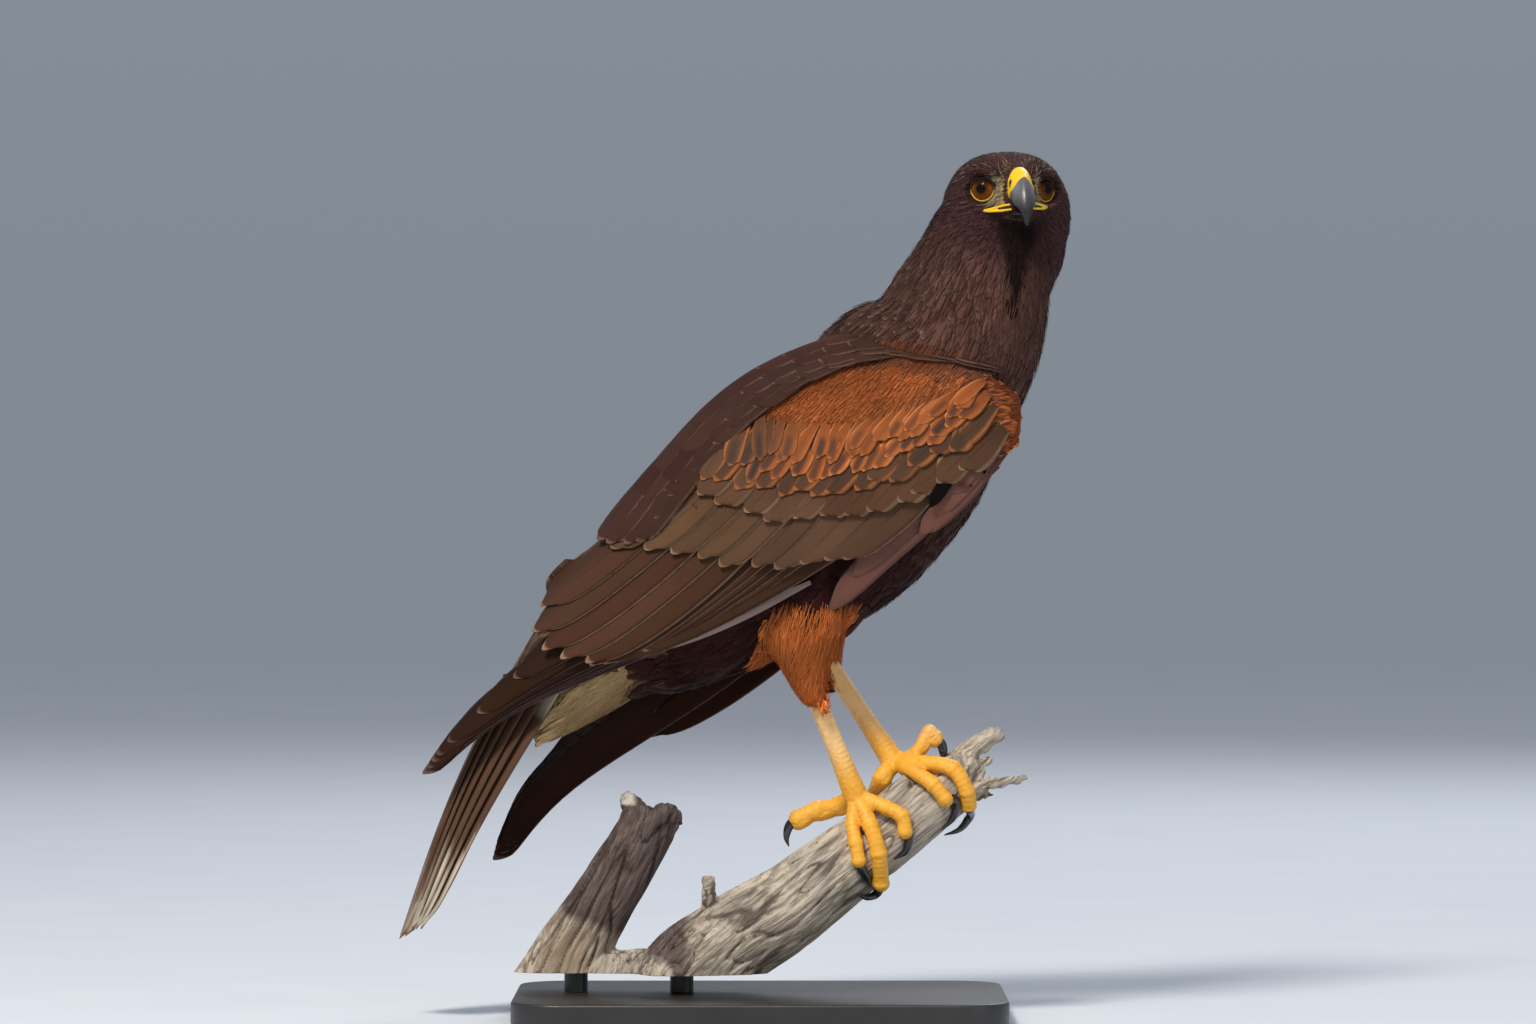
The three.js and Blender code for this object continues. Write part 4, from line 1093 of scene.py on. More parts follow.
def coat_colour(g):
    """Colour of the coat at each point of a Growth."""
    x, y, z = g.points.T
    colour = blend(BREAST, MANTLE, ease(g.back, -0.2, 0.5))
    colour = blend(colour, NECK, ease(g.station, 6, 2.5) * 0.8)
    # Towards the belly the underside turns a very dark maroon: partly the belly's own colour, partly painted
    # shade.
    colour = blend(colour, BELLY, ease(g.station, 4.2, 6.8) * (1 - ease(g.back, -0.25, 0.3)))
    colour = blend(colour, CROWN, g.head)
    # Painted shadow under the bill: a near-black V down the throat, partly the dark parting of its feathers
    # and partly the shadow that the head casts there.
    narrows = 10 * (1 - np.clip((403 - z) / 38, 0, 1)) ** 1.3 + 1.3
    parting_and_shadow = (1 - ease(np.abs(x - 126) / narrows, 0.55, 1.15)) * ease(-y, 0, 8)
    parting_and_shadow = parting_and_shadow * ease(z, 362, 367) * (1 - ease(z, 404, 409))
    colour = blend(colour, seen(24, 5, 7), 0.94 * parting_and_shadow)
    colour = blend(colour, THIGH, ease(g.thigh, 0.4, 0.6))
    # Painted shade: the feathers under the tail turn brown towards the front, where the body shades them.
    return blend(colour, blend(CREAM, seen(150, 112, 76), 0.65 * ease(x - z, -248, -230)), g.vent)


lore_colour = blend(LORE, LORE_YELLOW, (1 - ease(np.abs(grown.l), 7.5, 10)) * 0.8)
# The skin under the coat takes the coat's colour at less than half, and a halved rust on the shoulders:
# painted shade in the partings between feathers.
skin_in_shade = blend(coat_colour(grown) * 0.45, RUST * 0.5, arm_share(grown.points))
tinted(skin, "tint", blend(skin_in_shade, lore_colour, lore_share(grown)))
hide = Finish("skin_under_coat", Roughness=0.8, Specular_IOR_Level=0.15)
hide.colour(hide.shaded(hide.noise(hide.place(), 400.0), hide.stored(), 0.6, 0.6, 0.6))
flesh = ("torso", "neck", "head", "thigh_right", "thigh_left", "vent_coverts")
hand_over(paint(skin, hide), "plumage_dark", *flesh)

# %% [markdown]
# ## How a feather is built
#
# A feather is a thin closed blade: a few rings along its shaft, each ring a flat lens with the top side
# arched across and the two webs sinking to their edges. Thousands of blades go into one mesh at once as
# arrays. Each carries a colour, an edge colour, a map along and across its vane for the barbs, and a small
# patch of the skin's own map at the place of its root.

# %% Blades into one mesh


def ring_of(columns):
    """Places across a vane, -1 to 1, on top and then back underneath, and which side each is on."""
    top = np.linspace(-1, 1, columns)
    under = np.array([0.0]) if columns <= 7 else top[1:-1][::-1]
    face_up = np.concatenate([[0], np.ones(columns - 2), [0], -np.ones(len(under))])
    return np.concatenate([top, under]), face_up


def blade_faces(one):
    """Quads along one blade (rows, around, 3) and the two end faces, turned outwards."""
    rows, around = one.shape[:2]
    index = np.arange(rows * around).reshape(rows, around)
    quads = np.stack([index[:-1], index[1:], np.roll(index[1:], -1, 1), np.roll(index[:-1], -1, 1)], -1)
    quads = quads.reshape(-1, 4)
    caps = np.stack([index[0], index[-1][::-1]])
    flat = one.reshape(-1, 3)
    a, b, c, d = (flat[quads[:, k]] for k in range(4))
    off = a - flat.mean(0)
    volume = (np.cross(b - a, c - a) * off).sum() + (np.cross(c - a, d - a) * off).sum()
    return (quads, caps) if volume >= 0 else (quads[:, ::-1], caps[:, ::-1])


def blades(name, points, vane, tint, fringe, patch):
    """Many blades as one piece.

    points, tint (rgb and streak) and fringe (rgb and amount) are (n, rows, around, 3 or 4), vane is
    (rows, around, 2) and patch (n, 2).
    """
    n, rows, around = points.shape[:3]
    quads, caps = blade_faces(points[0])
    shift = (np.arange(n) * rows * around)[:, None, None]
    corners = np.concatenate([(quads[None] + shift).reshape(-1), (caps[None] + shift).reshape(-1)])
    sizes = np.concatenate([np.full(n * len(quads), 4), np.full(n * 2, around)])
    mesh = bpy.data.meshes.new(name)
    mesh.vertices.add(n * rows * around)
    mesh.vertices.foreach_set("co", (points * MM).ravel())
    mesh.loops.add(len(corners))
    mesh.loops.foreach_set("vertex_index", corners.astype(np.int32))
    mesh.polygons.add(len(sizes))
    mesh.polygons.foreach_set("loop_start", (np.cumsum(sizes) - sizes).astype(np.int32))
    mesh.polygons.foreach_set("use_smooth", np.ones(len(sizes), bool))
    mesh.update(calc_edges=True)
    mesh.validate()
    made = bpy.data.objects.new(name, mesh)
    bpy.context.scene.collection.objects.link(made)
    for layer, values in (("tint", tint), ("fringe", fringe)):
        tinted(made, layer, np.broadcast_to(values, (n, rows, around, 4)).reshape(-1, 4))
    whole = np.broadcast_to(vane[None], (n, rows, around, 2))
    small = patch[:, None, None] + (vane[None] - 0.5) * 0.003
    for layer, places in (("vane", whole), ("OFBake", small)):
        mesh.uv_layers.new(name=layer).data.foreach_set("uv", places.reshape(-1, 2)[corners].ravel())
    return made


print("around a small feather:", len(ring_of(7)[0]))

# %% The skin as a surface to walk on
skin_places = points_of(skin)
skin_faces = [tuple(p.vertices) for p in skin.data.polygons]
skin_tree = BVHTree.FromPolygons([tuple(p) for p in skin_places], skin_faces)
corner_normals = normals_of(skin)
face_normals = unit(np.array([corner_normals[list(face)].mean(0) for face in skin_faces]))
face_centres = np.array([skin_places[list(face)].mean(0) for face in skin_faces])
bake_map = np.empty(len(skin.data.loops) * 2)
skin.data.uv_layers["OFBake"].data.foreach_get("uv", bake_map)
bake_map = bake_map.reshape(-1, 2)
face_starts = np.array([p.loop_start for p in skin.data.polygons])
face_patch = (bake_map[face_starts] + bake_map[face_starts + 2]) / 2


def on_skin(points):
    """For many points: the nearest places on the skin, the normals there and the faces hit."""
    hits = [skin_tree.find_nearest(p) for p in points]
    place = np.array([h[0] for h in hits])
    face = np.array([h[2] for h in hits])
    return place, face_normals[face], face


print("skin faces for walking:", len(skin_faces))

# %% Walking over the skin, and choosing roots


def walk(roots, ways, lengths, shares, lift, stiff=0.25, free=0.0):
    """Middle lines that follow the skin. lift (n, rows) stands off it; stiff feathers bend less."""
    place, normal, face = on_skin(roots)
    along = unit(ways - normal * (ways * normal).sum(-1, keepdims=True))
    spot = place + normal * lift[:, :1]
    spots, alongs, normals = [spot], [along], [normal]
    for r in range(1, len(shares)):
        step = (lengths * (shares[r] - shares[r - 1]))[:, None]
        spot = spot + along * step
        near, fresh, _ = on_skin(spot)
        normal = unit(normal * stiff + fresh * (1 - stiff))
        height = ((spot - near) * fresh).sum(-1)
        wanted = lift[:, r]
        push = np.maximum((wanted - height) * (1 - free), 0.5 * wanted - height)
        spot = spot + fresh * push[:, None]
        along = unit(spot - spots[-1])
        normal = unit(normal - along * (normal * along).sum(-1, keepdims=True))
        spots.append(spot)
        alongs.append(along)
        normals.append(normal)
    return np.stack(spots, 1), np.stack(alongs, 1), np.stack(normals, 1), face


def scatter(points, gaps, seed):
    """Picks points in random order so that no two are nearer than their gap."""
    tree = KDTree(len(points))
    for i, p in enumerate(points):
        tree.insert(p, i)
    tree.balance()
    alive = np.ones(len(points), bool)
    chosen = []
    for i in np.random.default_rng(seed).permutation(len(points)):
        if alive[i]:
            chosen.append(i)
            for _, j, _ in tree.find_range(points[i], gaps[i]):
                alive[j] = False
    return np.array(chosen)


mean_area = sum(p.area for p in skin.data.polygons) / len(skin_faces)
print("mean skin face:", round(math.sqrt(mean_area) / MM, 2), "mm across")

# %% [markdown]
# ## The small feathers of head and body
#
# Small contour feathers lie like tiles, each tip over the roots of the next. On the head they are a few
# millimetres long and narrow, on the breast broad and soft, on the back rounder with paler edges, and on the
# thigh long and loose. Their tips are a little ragged, because the barbs part there.

# %% Sizes by tract
ROUND = through((0, 0.3), (0.12, 0.62), (0.4, 0.97), (0.65, 1.0), (0.85, 0.86), (1, 0.5))
SLIM = through((0, 0.4), (0.15, 0.7), (0.4, 0.98), (0.65, 0.9), (0.85, 0.62), (1, 0.2))
SHARES = np.array([0, 0.16, 0.4, 0.64, 0.84, 1.0])


def by_tract(g, body, head, thigh, vent):
    return mix(mix(mix(body, head, g.head), thigh, g.thigh), vent, g.vent)


def sizes(g):
    """Length, half width, gap between roots and height of the tip at each point, in mm."""
    on_head_long = 3.8 + 7 * ease(-g.f, -22, 20) + 2.5 * ease(-g.u, 5, 28)
    on_body_long = 15 + 10 * ease(g.station, 2, 6) + 3 * ease(g.station, 6, 10)
    on_body_long = on_body_long + 4 * ease(g.back, 0, 0.7) * ease(g.station, 4, 8)
    length = by_tract(g, on_body_long, on_head_long, 16.0, 21.0)
    ratio = by_tract(g, 0.23 + 0.07 * ease(g.station, 3, 6), 0.2, 0.15, 0.15)
    gap = mix(length * mix(mix(0.185, 0.25, g.head), 0.19, g.thigh), 2.7, g.vent)
    head_lift = 0.8 + 0.6 * ease(-g.f, -20, 15)
    return length, length * ratio, gap, by_tract(g, 1.25 + 0.4 * ease(g.station, 4, 7), head_lift, 1.8, 0.5)


toward = np.random.default_rng(7).random((len(skin_faces), 1))
first_corners = np.array([skin_places[face[0]] for face in skin_faces])
between = face_centres * (1 - 0.8 * toward) + first_corners * 0.8 * toward
skin_spots = np.concatenate([face_centres, between])
g = Growth(skin_spots)
left_bare = (lore_share(g) > 0.5) | ((g.vent > 0.5) & (skin_spots[:, 0] < -103))
for spot in cornea_spots:
    left_bare |= np.linalg.norm(skin_spots - spot, axis=1) < 6.4
covered = under_wing(skin_spots, "right") | under_wing(skin_spots, "left")
candidates = skin_spots[~(covered | left_bare)]
g = Growth(candidates)
roots = scatter(candidates, sizes(g)[2], 11)
print("feathers:", len(roots))

# %% Small blades along middle lines
columns, face_up = ring_of(7)
hair_columns, hair_up = ring_of(2)
FEW = np.array([0, 0.3, 0.66, 1.0])
FEATHER = {"across": columns, "shares": SHARES}
HAIRLINE = {"across": hair_columns, "shares": FEW}


def ragged_points(path, half, shape, camber, ragged, thick, draw, across, shares, top=face_up, turn=0.06):
    """Rings of blade points (n, rows, around, 3) about middle lines; ragged mm of wear at the tip."""
    line, along, normal = path
    side = unit(np.cross(normal, along))
    roll = draw.normal(0, turn, len(line))[:, None, None]
    side, normal = side * np.cos(roll) + normal * np.sin(roll), normal * np.cos(roll) - side * np.sin(roll)
    s, x = shares[None, :, None], across[None, None, :]
    half = half[:, None, None]
    wide = half * shape(shares)[None, :, None] * x
    fray = draw.uniform(-1, 0.35, (len(line), 1, len(across))) * ragged[:, None, None] * s**5
    back = fray - 0.5 * half * x**2 * s**3
    rise = -camber * half * x**2 * (0.3 + 0.7 * s) + top[None, None, :] * thick * (1 - 0.5 * s)
    flat = line[:, :, None] + side[:, :, None] * wide[..., None] + along[:, :, None] * back[..., None]
    return flat + normal[:, :, None] * rise[..., None]


def vane_map(across, shares):
    return np.stack(np.broadcast_arrays((across[None] + 1) / 2, shares[:, None]), -1)


def tints(colour, across, shares, streak=0.0, root_tone=0.88):
    """A tint for every point of small blades, darker at the root where the next feather shades it."""
    tone = (root_tone + (1.08 - root_tone) * shares**0.7)[None, :, None, None]
    rgb = np.broadcast_to(colour[:, None, None] * tone, (len(colour), len(shares), len(across), 3))
    streak = np.broadcast_to(np.asarray(streak, float).reshape(-1, 1, 1, 1), (*rgb.shape[:3], 1))
    return np.concatenate([rgb, streak], -1)


def patchy(points, size, amount):
    """A slow change of tone over the coat, as where feathers are worn or sit at another angle."""
    return 1 + amount * np.array([[noise.noise(Vector(p / size))] for p in points])


def astray(ways, amount, draw):
    """Directions turned a little at random."""
    return unit(ways + draw.normal(0, 1, ways.shape) * amount)


print("points in a small feather:", len(columns) * len(SHARES))

# %% One piece of coat, and loose barbs


def edge_colour(here, colour, draw):
    """Colour of a feather's edge, and how wide it is."""
    pale = blend(colour * 1.3, PALE_EDGE, ease(here.back, -0.1, 0.5) * (1 - here.head) * 0.55)
    wide = (0.25 + 0.2 * ease(here.back, 0, 0.6)) * (1 - 0.6 * here.vent)
    wide = wide * draw.uniform(0.5, 1.3, len(colour))
    return np.concatenate([pale, np.clip(wide, 0, 1)[:, None]], -1)[:, None, None]


def coat(name, spots, seed, shape=ROUND, ragged=0.07, camber=0.16, free=0.0, stray=0.09):
    """One piece of coat with a feather at each spot."""
    draw = np.random.default_rng(seed)
    n = len(spots)
    here = Growth(spots)
    long, wide, _, high = sizes(here)
    long = long * draw.uniform(0.85, 1.15, n)
    wide = wide * draw.uniform(0.9, 1.12, n)
    rise = (high * draw.uniform(0.75, 1.25, n))[:, None] * SHARES[None] ** 0.75 - 0.25
    *path, face = walk(spots, astray(here.way, stray, draw), long, SHARES, rise, free=free)
    points = ragged_points(path, wide, shape, camber, long * ragged, 0.09, draw, **FEATHER)
    colour = coat_colour(here) * (draw.uniform(0.86, 1.12, (n, 1)) + draw.normal(0, 0.012, (n, 3)))
    colour = colour * patchy(spots, 18.0, 0.26)
    edges = edge_colour(here, colour, draw)
    return blades(name, points, vane_map(**FEATHER), tints(colour, **FEATHER), edges, face_patch[face])


HAIR = through((0, 0.7), (0.3, 1.0), (0.7, 0.7), (1, 0.12))


def wisps(name, spots, ways, long, high, colour, half, seed, free=0.35, stray=0.12):
    """Fine loose barbs that lie on the coat and break its edges up."""
    draw = np.random.default_rng(seed)
    n = len(spots)
    rise = (high * draw.uniform(0.7, 1.35, n))[:, None] * (0.45 + 0.55 * FEW[None] ** 0.8)
    ways = astray(ways, stray, draw)
    *path, face = walk(spots, ways, long * draw.uniform(0.7, 1.3, n), FEW, rise, 0.35, free)
    wide = half * draw.uniform(0.7, 1.3, n)
    points = ragged_points(path, wide, HAIR, 0.0, np.zeros(n), half * 0.8, draw, top=hair_up, **HAIRLINE)
    shades = tints(colour, root_tone=0.7, **HAIRLINE)
    return blades(name, points, vane_map(**HAIRLINE), shades, np.zeros((1, 1, 1, 4)), face_patch[face])


print("points in a barb:", len(hair_columns) * len(FEW))

# %% [markdown]
# ## The finish of a vane
#
# Barbs slant out from the shaft like the teeth of a comb, and at this size they show as fine slanted lines
# with a slight sheen. A feather's edge is paler where it is worn, its shaft is a thin dark line, and some
# coverts carry a dark streak along it. All of this is drawn from the feather's own map, so it follows every
# blade; the colours come from the values that were stored with each point.

# %% The vane's finish


def vane_finish(name, barbs, shine=0.08, rough=0.72, relief=0.3, tip=0.3):
    """Barbs slant out from the shaft; the edge pales and the shaft shows as a fine line."""
    made = Finish(name, Roughness=rough, Specular_IOR_Level=shine, Sheen_Weight=0.03, Sheen_Roughness=0.5)
    tint = made.node("ShaderNodeAttribute", attribute_name="tint").outputs
    fringe = made.node("ShaderNodeAttribute", attribute_name="fringe").outputs
    where = made.apart(made.node("ShaderNodeUVMap", uv_map="vane").outputs[0])
    across = made.math("ABSOLUTE", made.math("MULTIPLY_ADD", where["X"], 2.0, -1.0))
    down = where["Y"]
    wide = fringe["Alpha"]

    def beyond(value, start, start_slope, end_slope):
        """1 in the pale edge and 0 inside it; the edge is as wide as the feather's own value says."""
        inner = made.math("MULTIPLY_ADD", wide, start_slope, start)
        return made.smooth(value, inner, made.math("MULTIPLY_ADD", wide, end_slope, 1.0))

    worn = made.noise(made.place(), 260.0, 3.0)
    slant = made.math("MULTIPLY_ADD", down, barbs, made.times(across, -barbs * 0.32))
    lines = made.math("SINE", made.times(made.math("ADD", slant, made.times(worn, 1.4)), 6.2832))
    soft = made.smooth(lines, -1.0, 1.0)
    edge = made.math("MAXIMUM", beyond(across, 0.97, -0.62, -0.2), beyond(down, 0.992, -tip, -tip / 3))
    edge = made.times(edge, made.smooth(worn, 0.2, 0.6, 0.45, 1.0), made.smooth(wide, 0.0, 0.06))
    middle = made.times(made.smooth(down, 0.3, 0.55), made.smooth(down, 1.0, 0.86))
    streak = made.times(made.smooth(across, 0.62, 0.22), middle, tint["Alpha"])
    shaft = made.times(made.smooth(across, 0.06, 0.015), made.smooth(down, 0.95, 0.7))
    vane = made.shaded(made.times(soft, 0.3), tint["Color"], 0.55, 0.52, 0.52)
    vane = made.mix(edge, vane, fringe["Color"])
    vane = made.mix(streak, vane, (0.05, 0.032, 0.026, 1))
    vane = made.mix(made.times(shaft, 0.4), vane, (0.02, 0.012, 0.01, 1))
    broad = made.noise(made.place(), 42.0, 2.0)
    made.colour(made.shaded(made.smooth(broad, 0.35, 0.7, 0.0, 0.3), vane, 0.6, 0.56, 0.56))
    made.bump(made.math("MULTIPLY_ADD", shaft, 1.0, made.times(soft, 0.5)), relief, 0.0002)
    return made


small_vane = vane_finish("small_feathers", 14.0)
print("nodes in a vane's finish:", len(small_vane.tree.nodes))

# %% Coat by tract
DARK, RED, WHITE = "plumage_dark", "plumage_rufous", "plumage_white"
picked = Growth(candidates[roots])
on_the_head = picked.head > 0.5
on_a_thigh = (picked.thigh > 0.5) & ~on_the_head
at_the_vent = (picked.vent > 0.5) & ~on_a_thigh
behind = (picked.back > 0.15) & ~on_the_head & ~on_a_thigh & ~at_the_vent
rest = ~(on_the_head | on_a_thigh | at_the_vent | behind)
COATS = [
    ("coat_head", on_the_head, DARK, {"shape": SLIM, "ragged": 0.16}),
    ("coat_thighs", on_a_thigh, RED, {"shape": SLIM, "ragged": 0.2, "stray": 0.13, "free": 0.4}),
    ("coat_vent", at_the_vent, WHITE, {"shape": SLIM, "ragged": 0.05, "camber": 0.1, "stray": 0.05}),
    ("coat_back", behind, DARK, {"ragged": 0.05}),
    ("coat_breast", rest & (picked.station < 5.5), DARK, {"ragged": 0.12}),
    ("coat_belly", rest & (picked.station >= 5.5), DARK, {"ragged": 0.12}),
]
for k, (name, chosen, slot, look) in enumerate(COATS):
    hand_over(paint(coat(name, picked.points[chosen], 100 + k, **look), small_vane), slot)

# %% Loose barbs by tract
loose = Growth(candidates[np.random.default_rng(50).permutation(len(candidates))])
head, leg, tail = loose.head > 0.5, loose.thigh > 0.5, loose.vent > 0.5
WISPS = [
    ("barbs_head", head, DARK, 5600, 4.6, 1.2, 0.16, 0.3),
    ("barbs_body", ~head & ~leg & ~tail, DARK, 8200, 8.5, 1.9, 0.24, 0.2),
    ("barbs_thighs", leg & ~head, RED, 4200, 12.0, 2.3, 0.2, 0.3),
    ("barbs_vent", tail & ~leg & (loose.points[:, 0] > -98), WHITE, 2600, 15.0, 0.8, 0.2, 0.1),
]
for k, (name, chosen, slot, most, long, high, half, free) in enumerate(WISPS):
    here = Growth(loose.points[chosen][:most])
    n = len(here.points)
    draw = np.random.default_rng(150 + k)
    colour = coat_colour(here) * draw.uniform(0.78, 1.3, (n, 1)) * patchy(here.points, 18.0, 0.26)
    pale = (draw.random(n) < 0.13 * ease(here.u, -6, 14)) & (here.head > 0.5)
    colour = np.where(pale[:, None], seen(166, 142, 116), colour)
    long = long * mix(1, 0.75 + 0.6 * ease(-here.f, -20, 15), here.head)
    high = high * mix(1, 0.7 + 0.3 * ease(-here.f, -20, 10), here.head)
    piece = wisps(name, here.points, here.way, long, high, colour, half, 160 + k, free)
    hand_over(paint(piece, small_vane), slot)

# %% [markdown]
# ## Flight feathers and their coverts
#
# A folded wing is a stack of fans. The primaries make the long point, the secondaries lie over them, and
# rows of coverts shingle over their roots: greater, then median, then the small rufous ones on the shoulder.
# Every feather is given by a root and a tip on the wing's sheet and one height at its root and tip. The edge
# towards the back sinks a little, so each feather tucks under its inner neighbour, as real ones do.

# %% Feathers on a sheet
LONG = through((0, 0.4), (0.3, 0.92), (0.62, 1), (0.84, 0.88), (0.95, 0.62), (1, 0.3))
POINTED = through((0, 0.4), (0.3, 0.9), (0.62, 1), (0.86, 0.97), (0.95, 0.8), (0.985, 0.6), (1, 0.4))
BROAD = through((0, 0.6), (0.45, 1), (0.8, 0.94), (0.93, 0.72), (1, 0.42))
SCALE = through((0, 0.5), (0.4, 0.9), (0.66, 1), (0.84, 0.9), (0.94, 0.7), (1, 0.42))
wide_columns, wide_up = ring_of(9)


def feather(root, tip, half, lift, slope=0.0, bow=0, late=1.3):
    """A feather on a sheet; lift is its height along the shaft, bow how far it bends and late where."""
    return {"root": root, "tip": tip, "half": half, "lift": lift, "slope": slope, "bow": bow, "late": late}


def quills(place, feathers, shape, rows, thick=0.26, camber=0.05, round_tip=0.55):
    """Blade points for many feathers on a sheet, and their map."""
    t = np.linspace(0, 1, rows)
    s = (1 - (1 - t) ** 1.3)[None, :, None]
    x = wide_columns[None, None, :]
    root, tip = (np.array([one[key] for one in feathers], float) for key in ("root", "tip"))
    keys = ("half", "slope", "bow", "late")
    half, slope, bow, late = (np.array([one[key] for one in feathers], float)[:, None, None] for key in keys)
    lift = np.stack([one["lift"](s[0]) for one in feathers])
    run = tip - root
    long = np.linalg.norm(run, axis=1)[:, None, None]
    across = np.stack([-run[:, 1], run[:, 0]], -1)[:, None, None] / long[..., None]
    along = run[:, None, None] / long[..., None]
    bend = bow * np.sin(np.pi * s**late)
    off = half * shape(s) * x
    wave = 0.02 * half * np.sin(9 * s + 3 * np.arange(len(feathers))[:, None, None]) * np.abs(x) ** 3
    back = -round_tip * half * x**2 * s**8
    centre = root[:, None, None] + run[:, None, None] * s[..., None]
    spot = centre + across * (bend + off + wave)[..., None] + along * back[..., None]
    level = lift + slope * off * across[..., 1] - camber * half * x**2 * (0.4 + 0.6 * s)
    level = level + 0.16 * (1 - s) * np.exp(-((x / 0.08) ** 2)) * wide_up
    level = level + wide_up[None, None] * thick * 0.5 * (1 - 0.6 * s) * (1 - 0.5 * np.abs(x))
    return place(spot[..., 0], spot[..., 1], level), vane_map(wide_columns, s[0, :, 0])


def vane_tint(base, count, vane, draw, inner):
    """A tint for each blade point, a little different on each feather, with painted shade at the root and on
    the tucked-under web.
    """
    each = base * draw.uniform(0.84, 1.14, (count, 1)) + draw.normal(0, 0.0008, (count, 3))
    s, x = vane[..., 1], vane[..., 0] * 2 - 1
    tone = (0.78 + 0.3 * ease(s, 0.1, 0.7)) * (1 - inner * ease(x, -0.1, 0.6))
    rgb = each[:, None, None] * tone[None, ..., None]
    return np.concatenate([rgb, np.zeros((*rgb.shape[:3], 1))], -1)


print("around a long feather:", len(wide_columns))

# %% One row of like feathers


def stretch_map(piece, vane, patch, wide, tall):
    """Gives each long feather a strip of its own on the OFBake map."""
    corners = np.empty(len(piece.data.loops), np.int32)
    piece.data.loops.foreach_get("vertex_index", corners)
    per = vane.shape[0] * vane.shape[1]
    local = (vane.reshape(-1, 2) - 0.5) * (wide, tall)
    flat = patch[corners // per] + local[corners % per]
    piece.data.uv_layers["OFBake"].data.foreach_set("uv", flat.ravel())


def tier(name, place, feathers, shape, rows, colour, edge, wide, cell, seed, inner=0, camber=0.05, streak=0):
    """One row of feathers as a mesh; cell is its strip on the OFBake map."""
    draw = np.random.default_rng(seed)
    n = len(feathers)
    points, vane = quills(place, feathers, shape, rows, camber=camber)
    tint = vane_tint(colour, n, vane, draw, inner)
    tint[..., 3] = streak
    edges = edge * draw.uniform(0.85, 1.12, (n, 1))
    fringe = np.concatenate([edges, draw.uniform(0.7, 1.2, (n, 1)) * wide], -1)[:, None, None]
    patch = np.stack([0.02 + 0.96 * (np.arange(n) + 0.5) / n, np.full(n, cell)], -1)
    made = blades(name, points, vane, tint, np.clip(fringe, 0, 1), patch)
    stretch_map(made, vane, patch, 0.9 / n, 0.05)
    return made


def fan(count, root, tip, half, lift, slope=0.0, bow=0, late=1.3):
    """A row of feathers; a value is a number, a pair of ends or a function of the share f of the row."""
    made = []
    for k in range(count):
        f = k / (count - 1)
        values = (*root, *tip, half, bow)
        own = [x(f) if callable(x) else mix(*x, f) if isinstance(x, tuple) else x for x in values]
        made.append(feather(own[:2], own[2:4], own[4], lift, slope, own[5], late))
    return made


print("halves in a row of three:", [one["half"] for one in fan(3, (0, 0), (1, 0), (2, 1), None)])

# %% Where the long feathers lie
PRIMARY_ENDS = {
    "right": ((357, 350, 338, 293), (0.5, 4.5, 9.5, 21), 10),
    "left": ((354, 349, 341, 311), (-1.5, 3.5, 8, 13), 12.5),
}
tertial_u = through((0, 256), (0.25, 266), (0.5, 272), (0.75, 272), (1, 262))
tertial_v = through((0, 5.5), (0.25, 14), (0.5, 23), (0.75, 34), (1, 43))
greater_v = through((0, -16), (0.45, 5), (1, 50))
hand_u = through((0, 136), (0.34, 117), (0.67, 103), (1, 88))
hand_v = through((0, -35), (0.34, -26), (0.67, -21), (1, -17))
LIFTS = {
    "primaries": lambda s: mix(-10, -6.5, s),
    "secondaries": through((0, -7.5), (0.4, -5.4), (1, -3.4)),
    "tertials": through((0, -5.5), (0.4, -3.6), (1, -1.6)),
    "greater": through((0, -4.6), (0.4, -2.4), (1, -0.9)),
    "hand": through((0, -6), (0.3, -5), (1, -3.8)),
    "thumb": through((0, -4), (0.3, -2.6), (1, -2.0)),
    "beneath": lambda s: mix(-9, -6.5, s),
    "slot": through((0, -3), (0.4, -0.6), (1, 0.6)),
    "pale_quill": lambda s: mix(-8, -6, s),
}


def long_feathers(name, stray):
    """The fans of one wing; each takes its count, root, tip, half width, then slope, bow and its place."""
    ends_u, ends_v, half = PRIMARY_ENDS[name]
    ends = [through(*zip((0, 0.34, 0.67, 1), row)) for row in (ends_u, ends_v)]
    second = (lambda f: mix(228, 254, f**0.6) + stray(1.5), (-4, 3))
    greater = (lambda f: mix(117, 214, f) + stray(2.5), lambda f: greater_v(f) + stray(0.8))
    fans = {
        "primaries": (7, ((70, 118), (-12, 12)), ends, (half, half + 1), -0.13, (13, 3), 3),
        "secondaries": (9, ((58, 126), (-6, 30)), second, 8.5, -0.12, -2),
        "tertials": (5, ((118, 158), (26, 60)), (tertial_u, tertial_v), 10.5, -0.1, (-3, -1)),
        "greater": (10, ((44, 146), (-2, 62)), greater, 9.4, -0.09),
        "hand": (4, ((26, 34), (-13, -3)), (hand_u, hand_v), (7.6, 6.4), -0.12, (3, 0)),
        "thumb": (3, ((19, 24), (-9, -2)), ((78, 56), (-25, -15)), 6.6, -0.1),
        "beneath": (3, ((88, 100), (-20, -4)), ((249, 264), (-6, 4)), 12, -0.13, -3),
    }
    if name == "right":
        fans.pop("beneath")
    return {key: fan(*look[:4], LIFTS[key], *look[4:]) for key, look in fans.items()}


print("heights of the primaries:", LIFTS["primaries"](0), "to", LIFTS["primaries"](1), "mm")

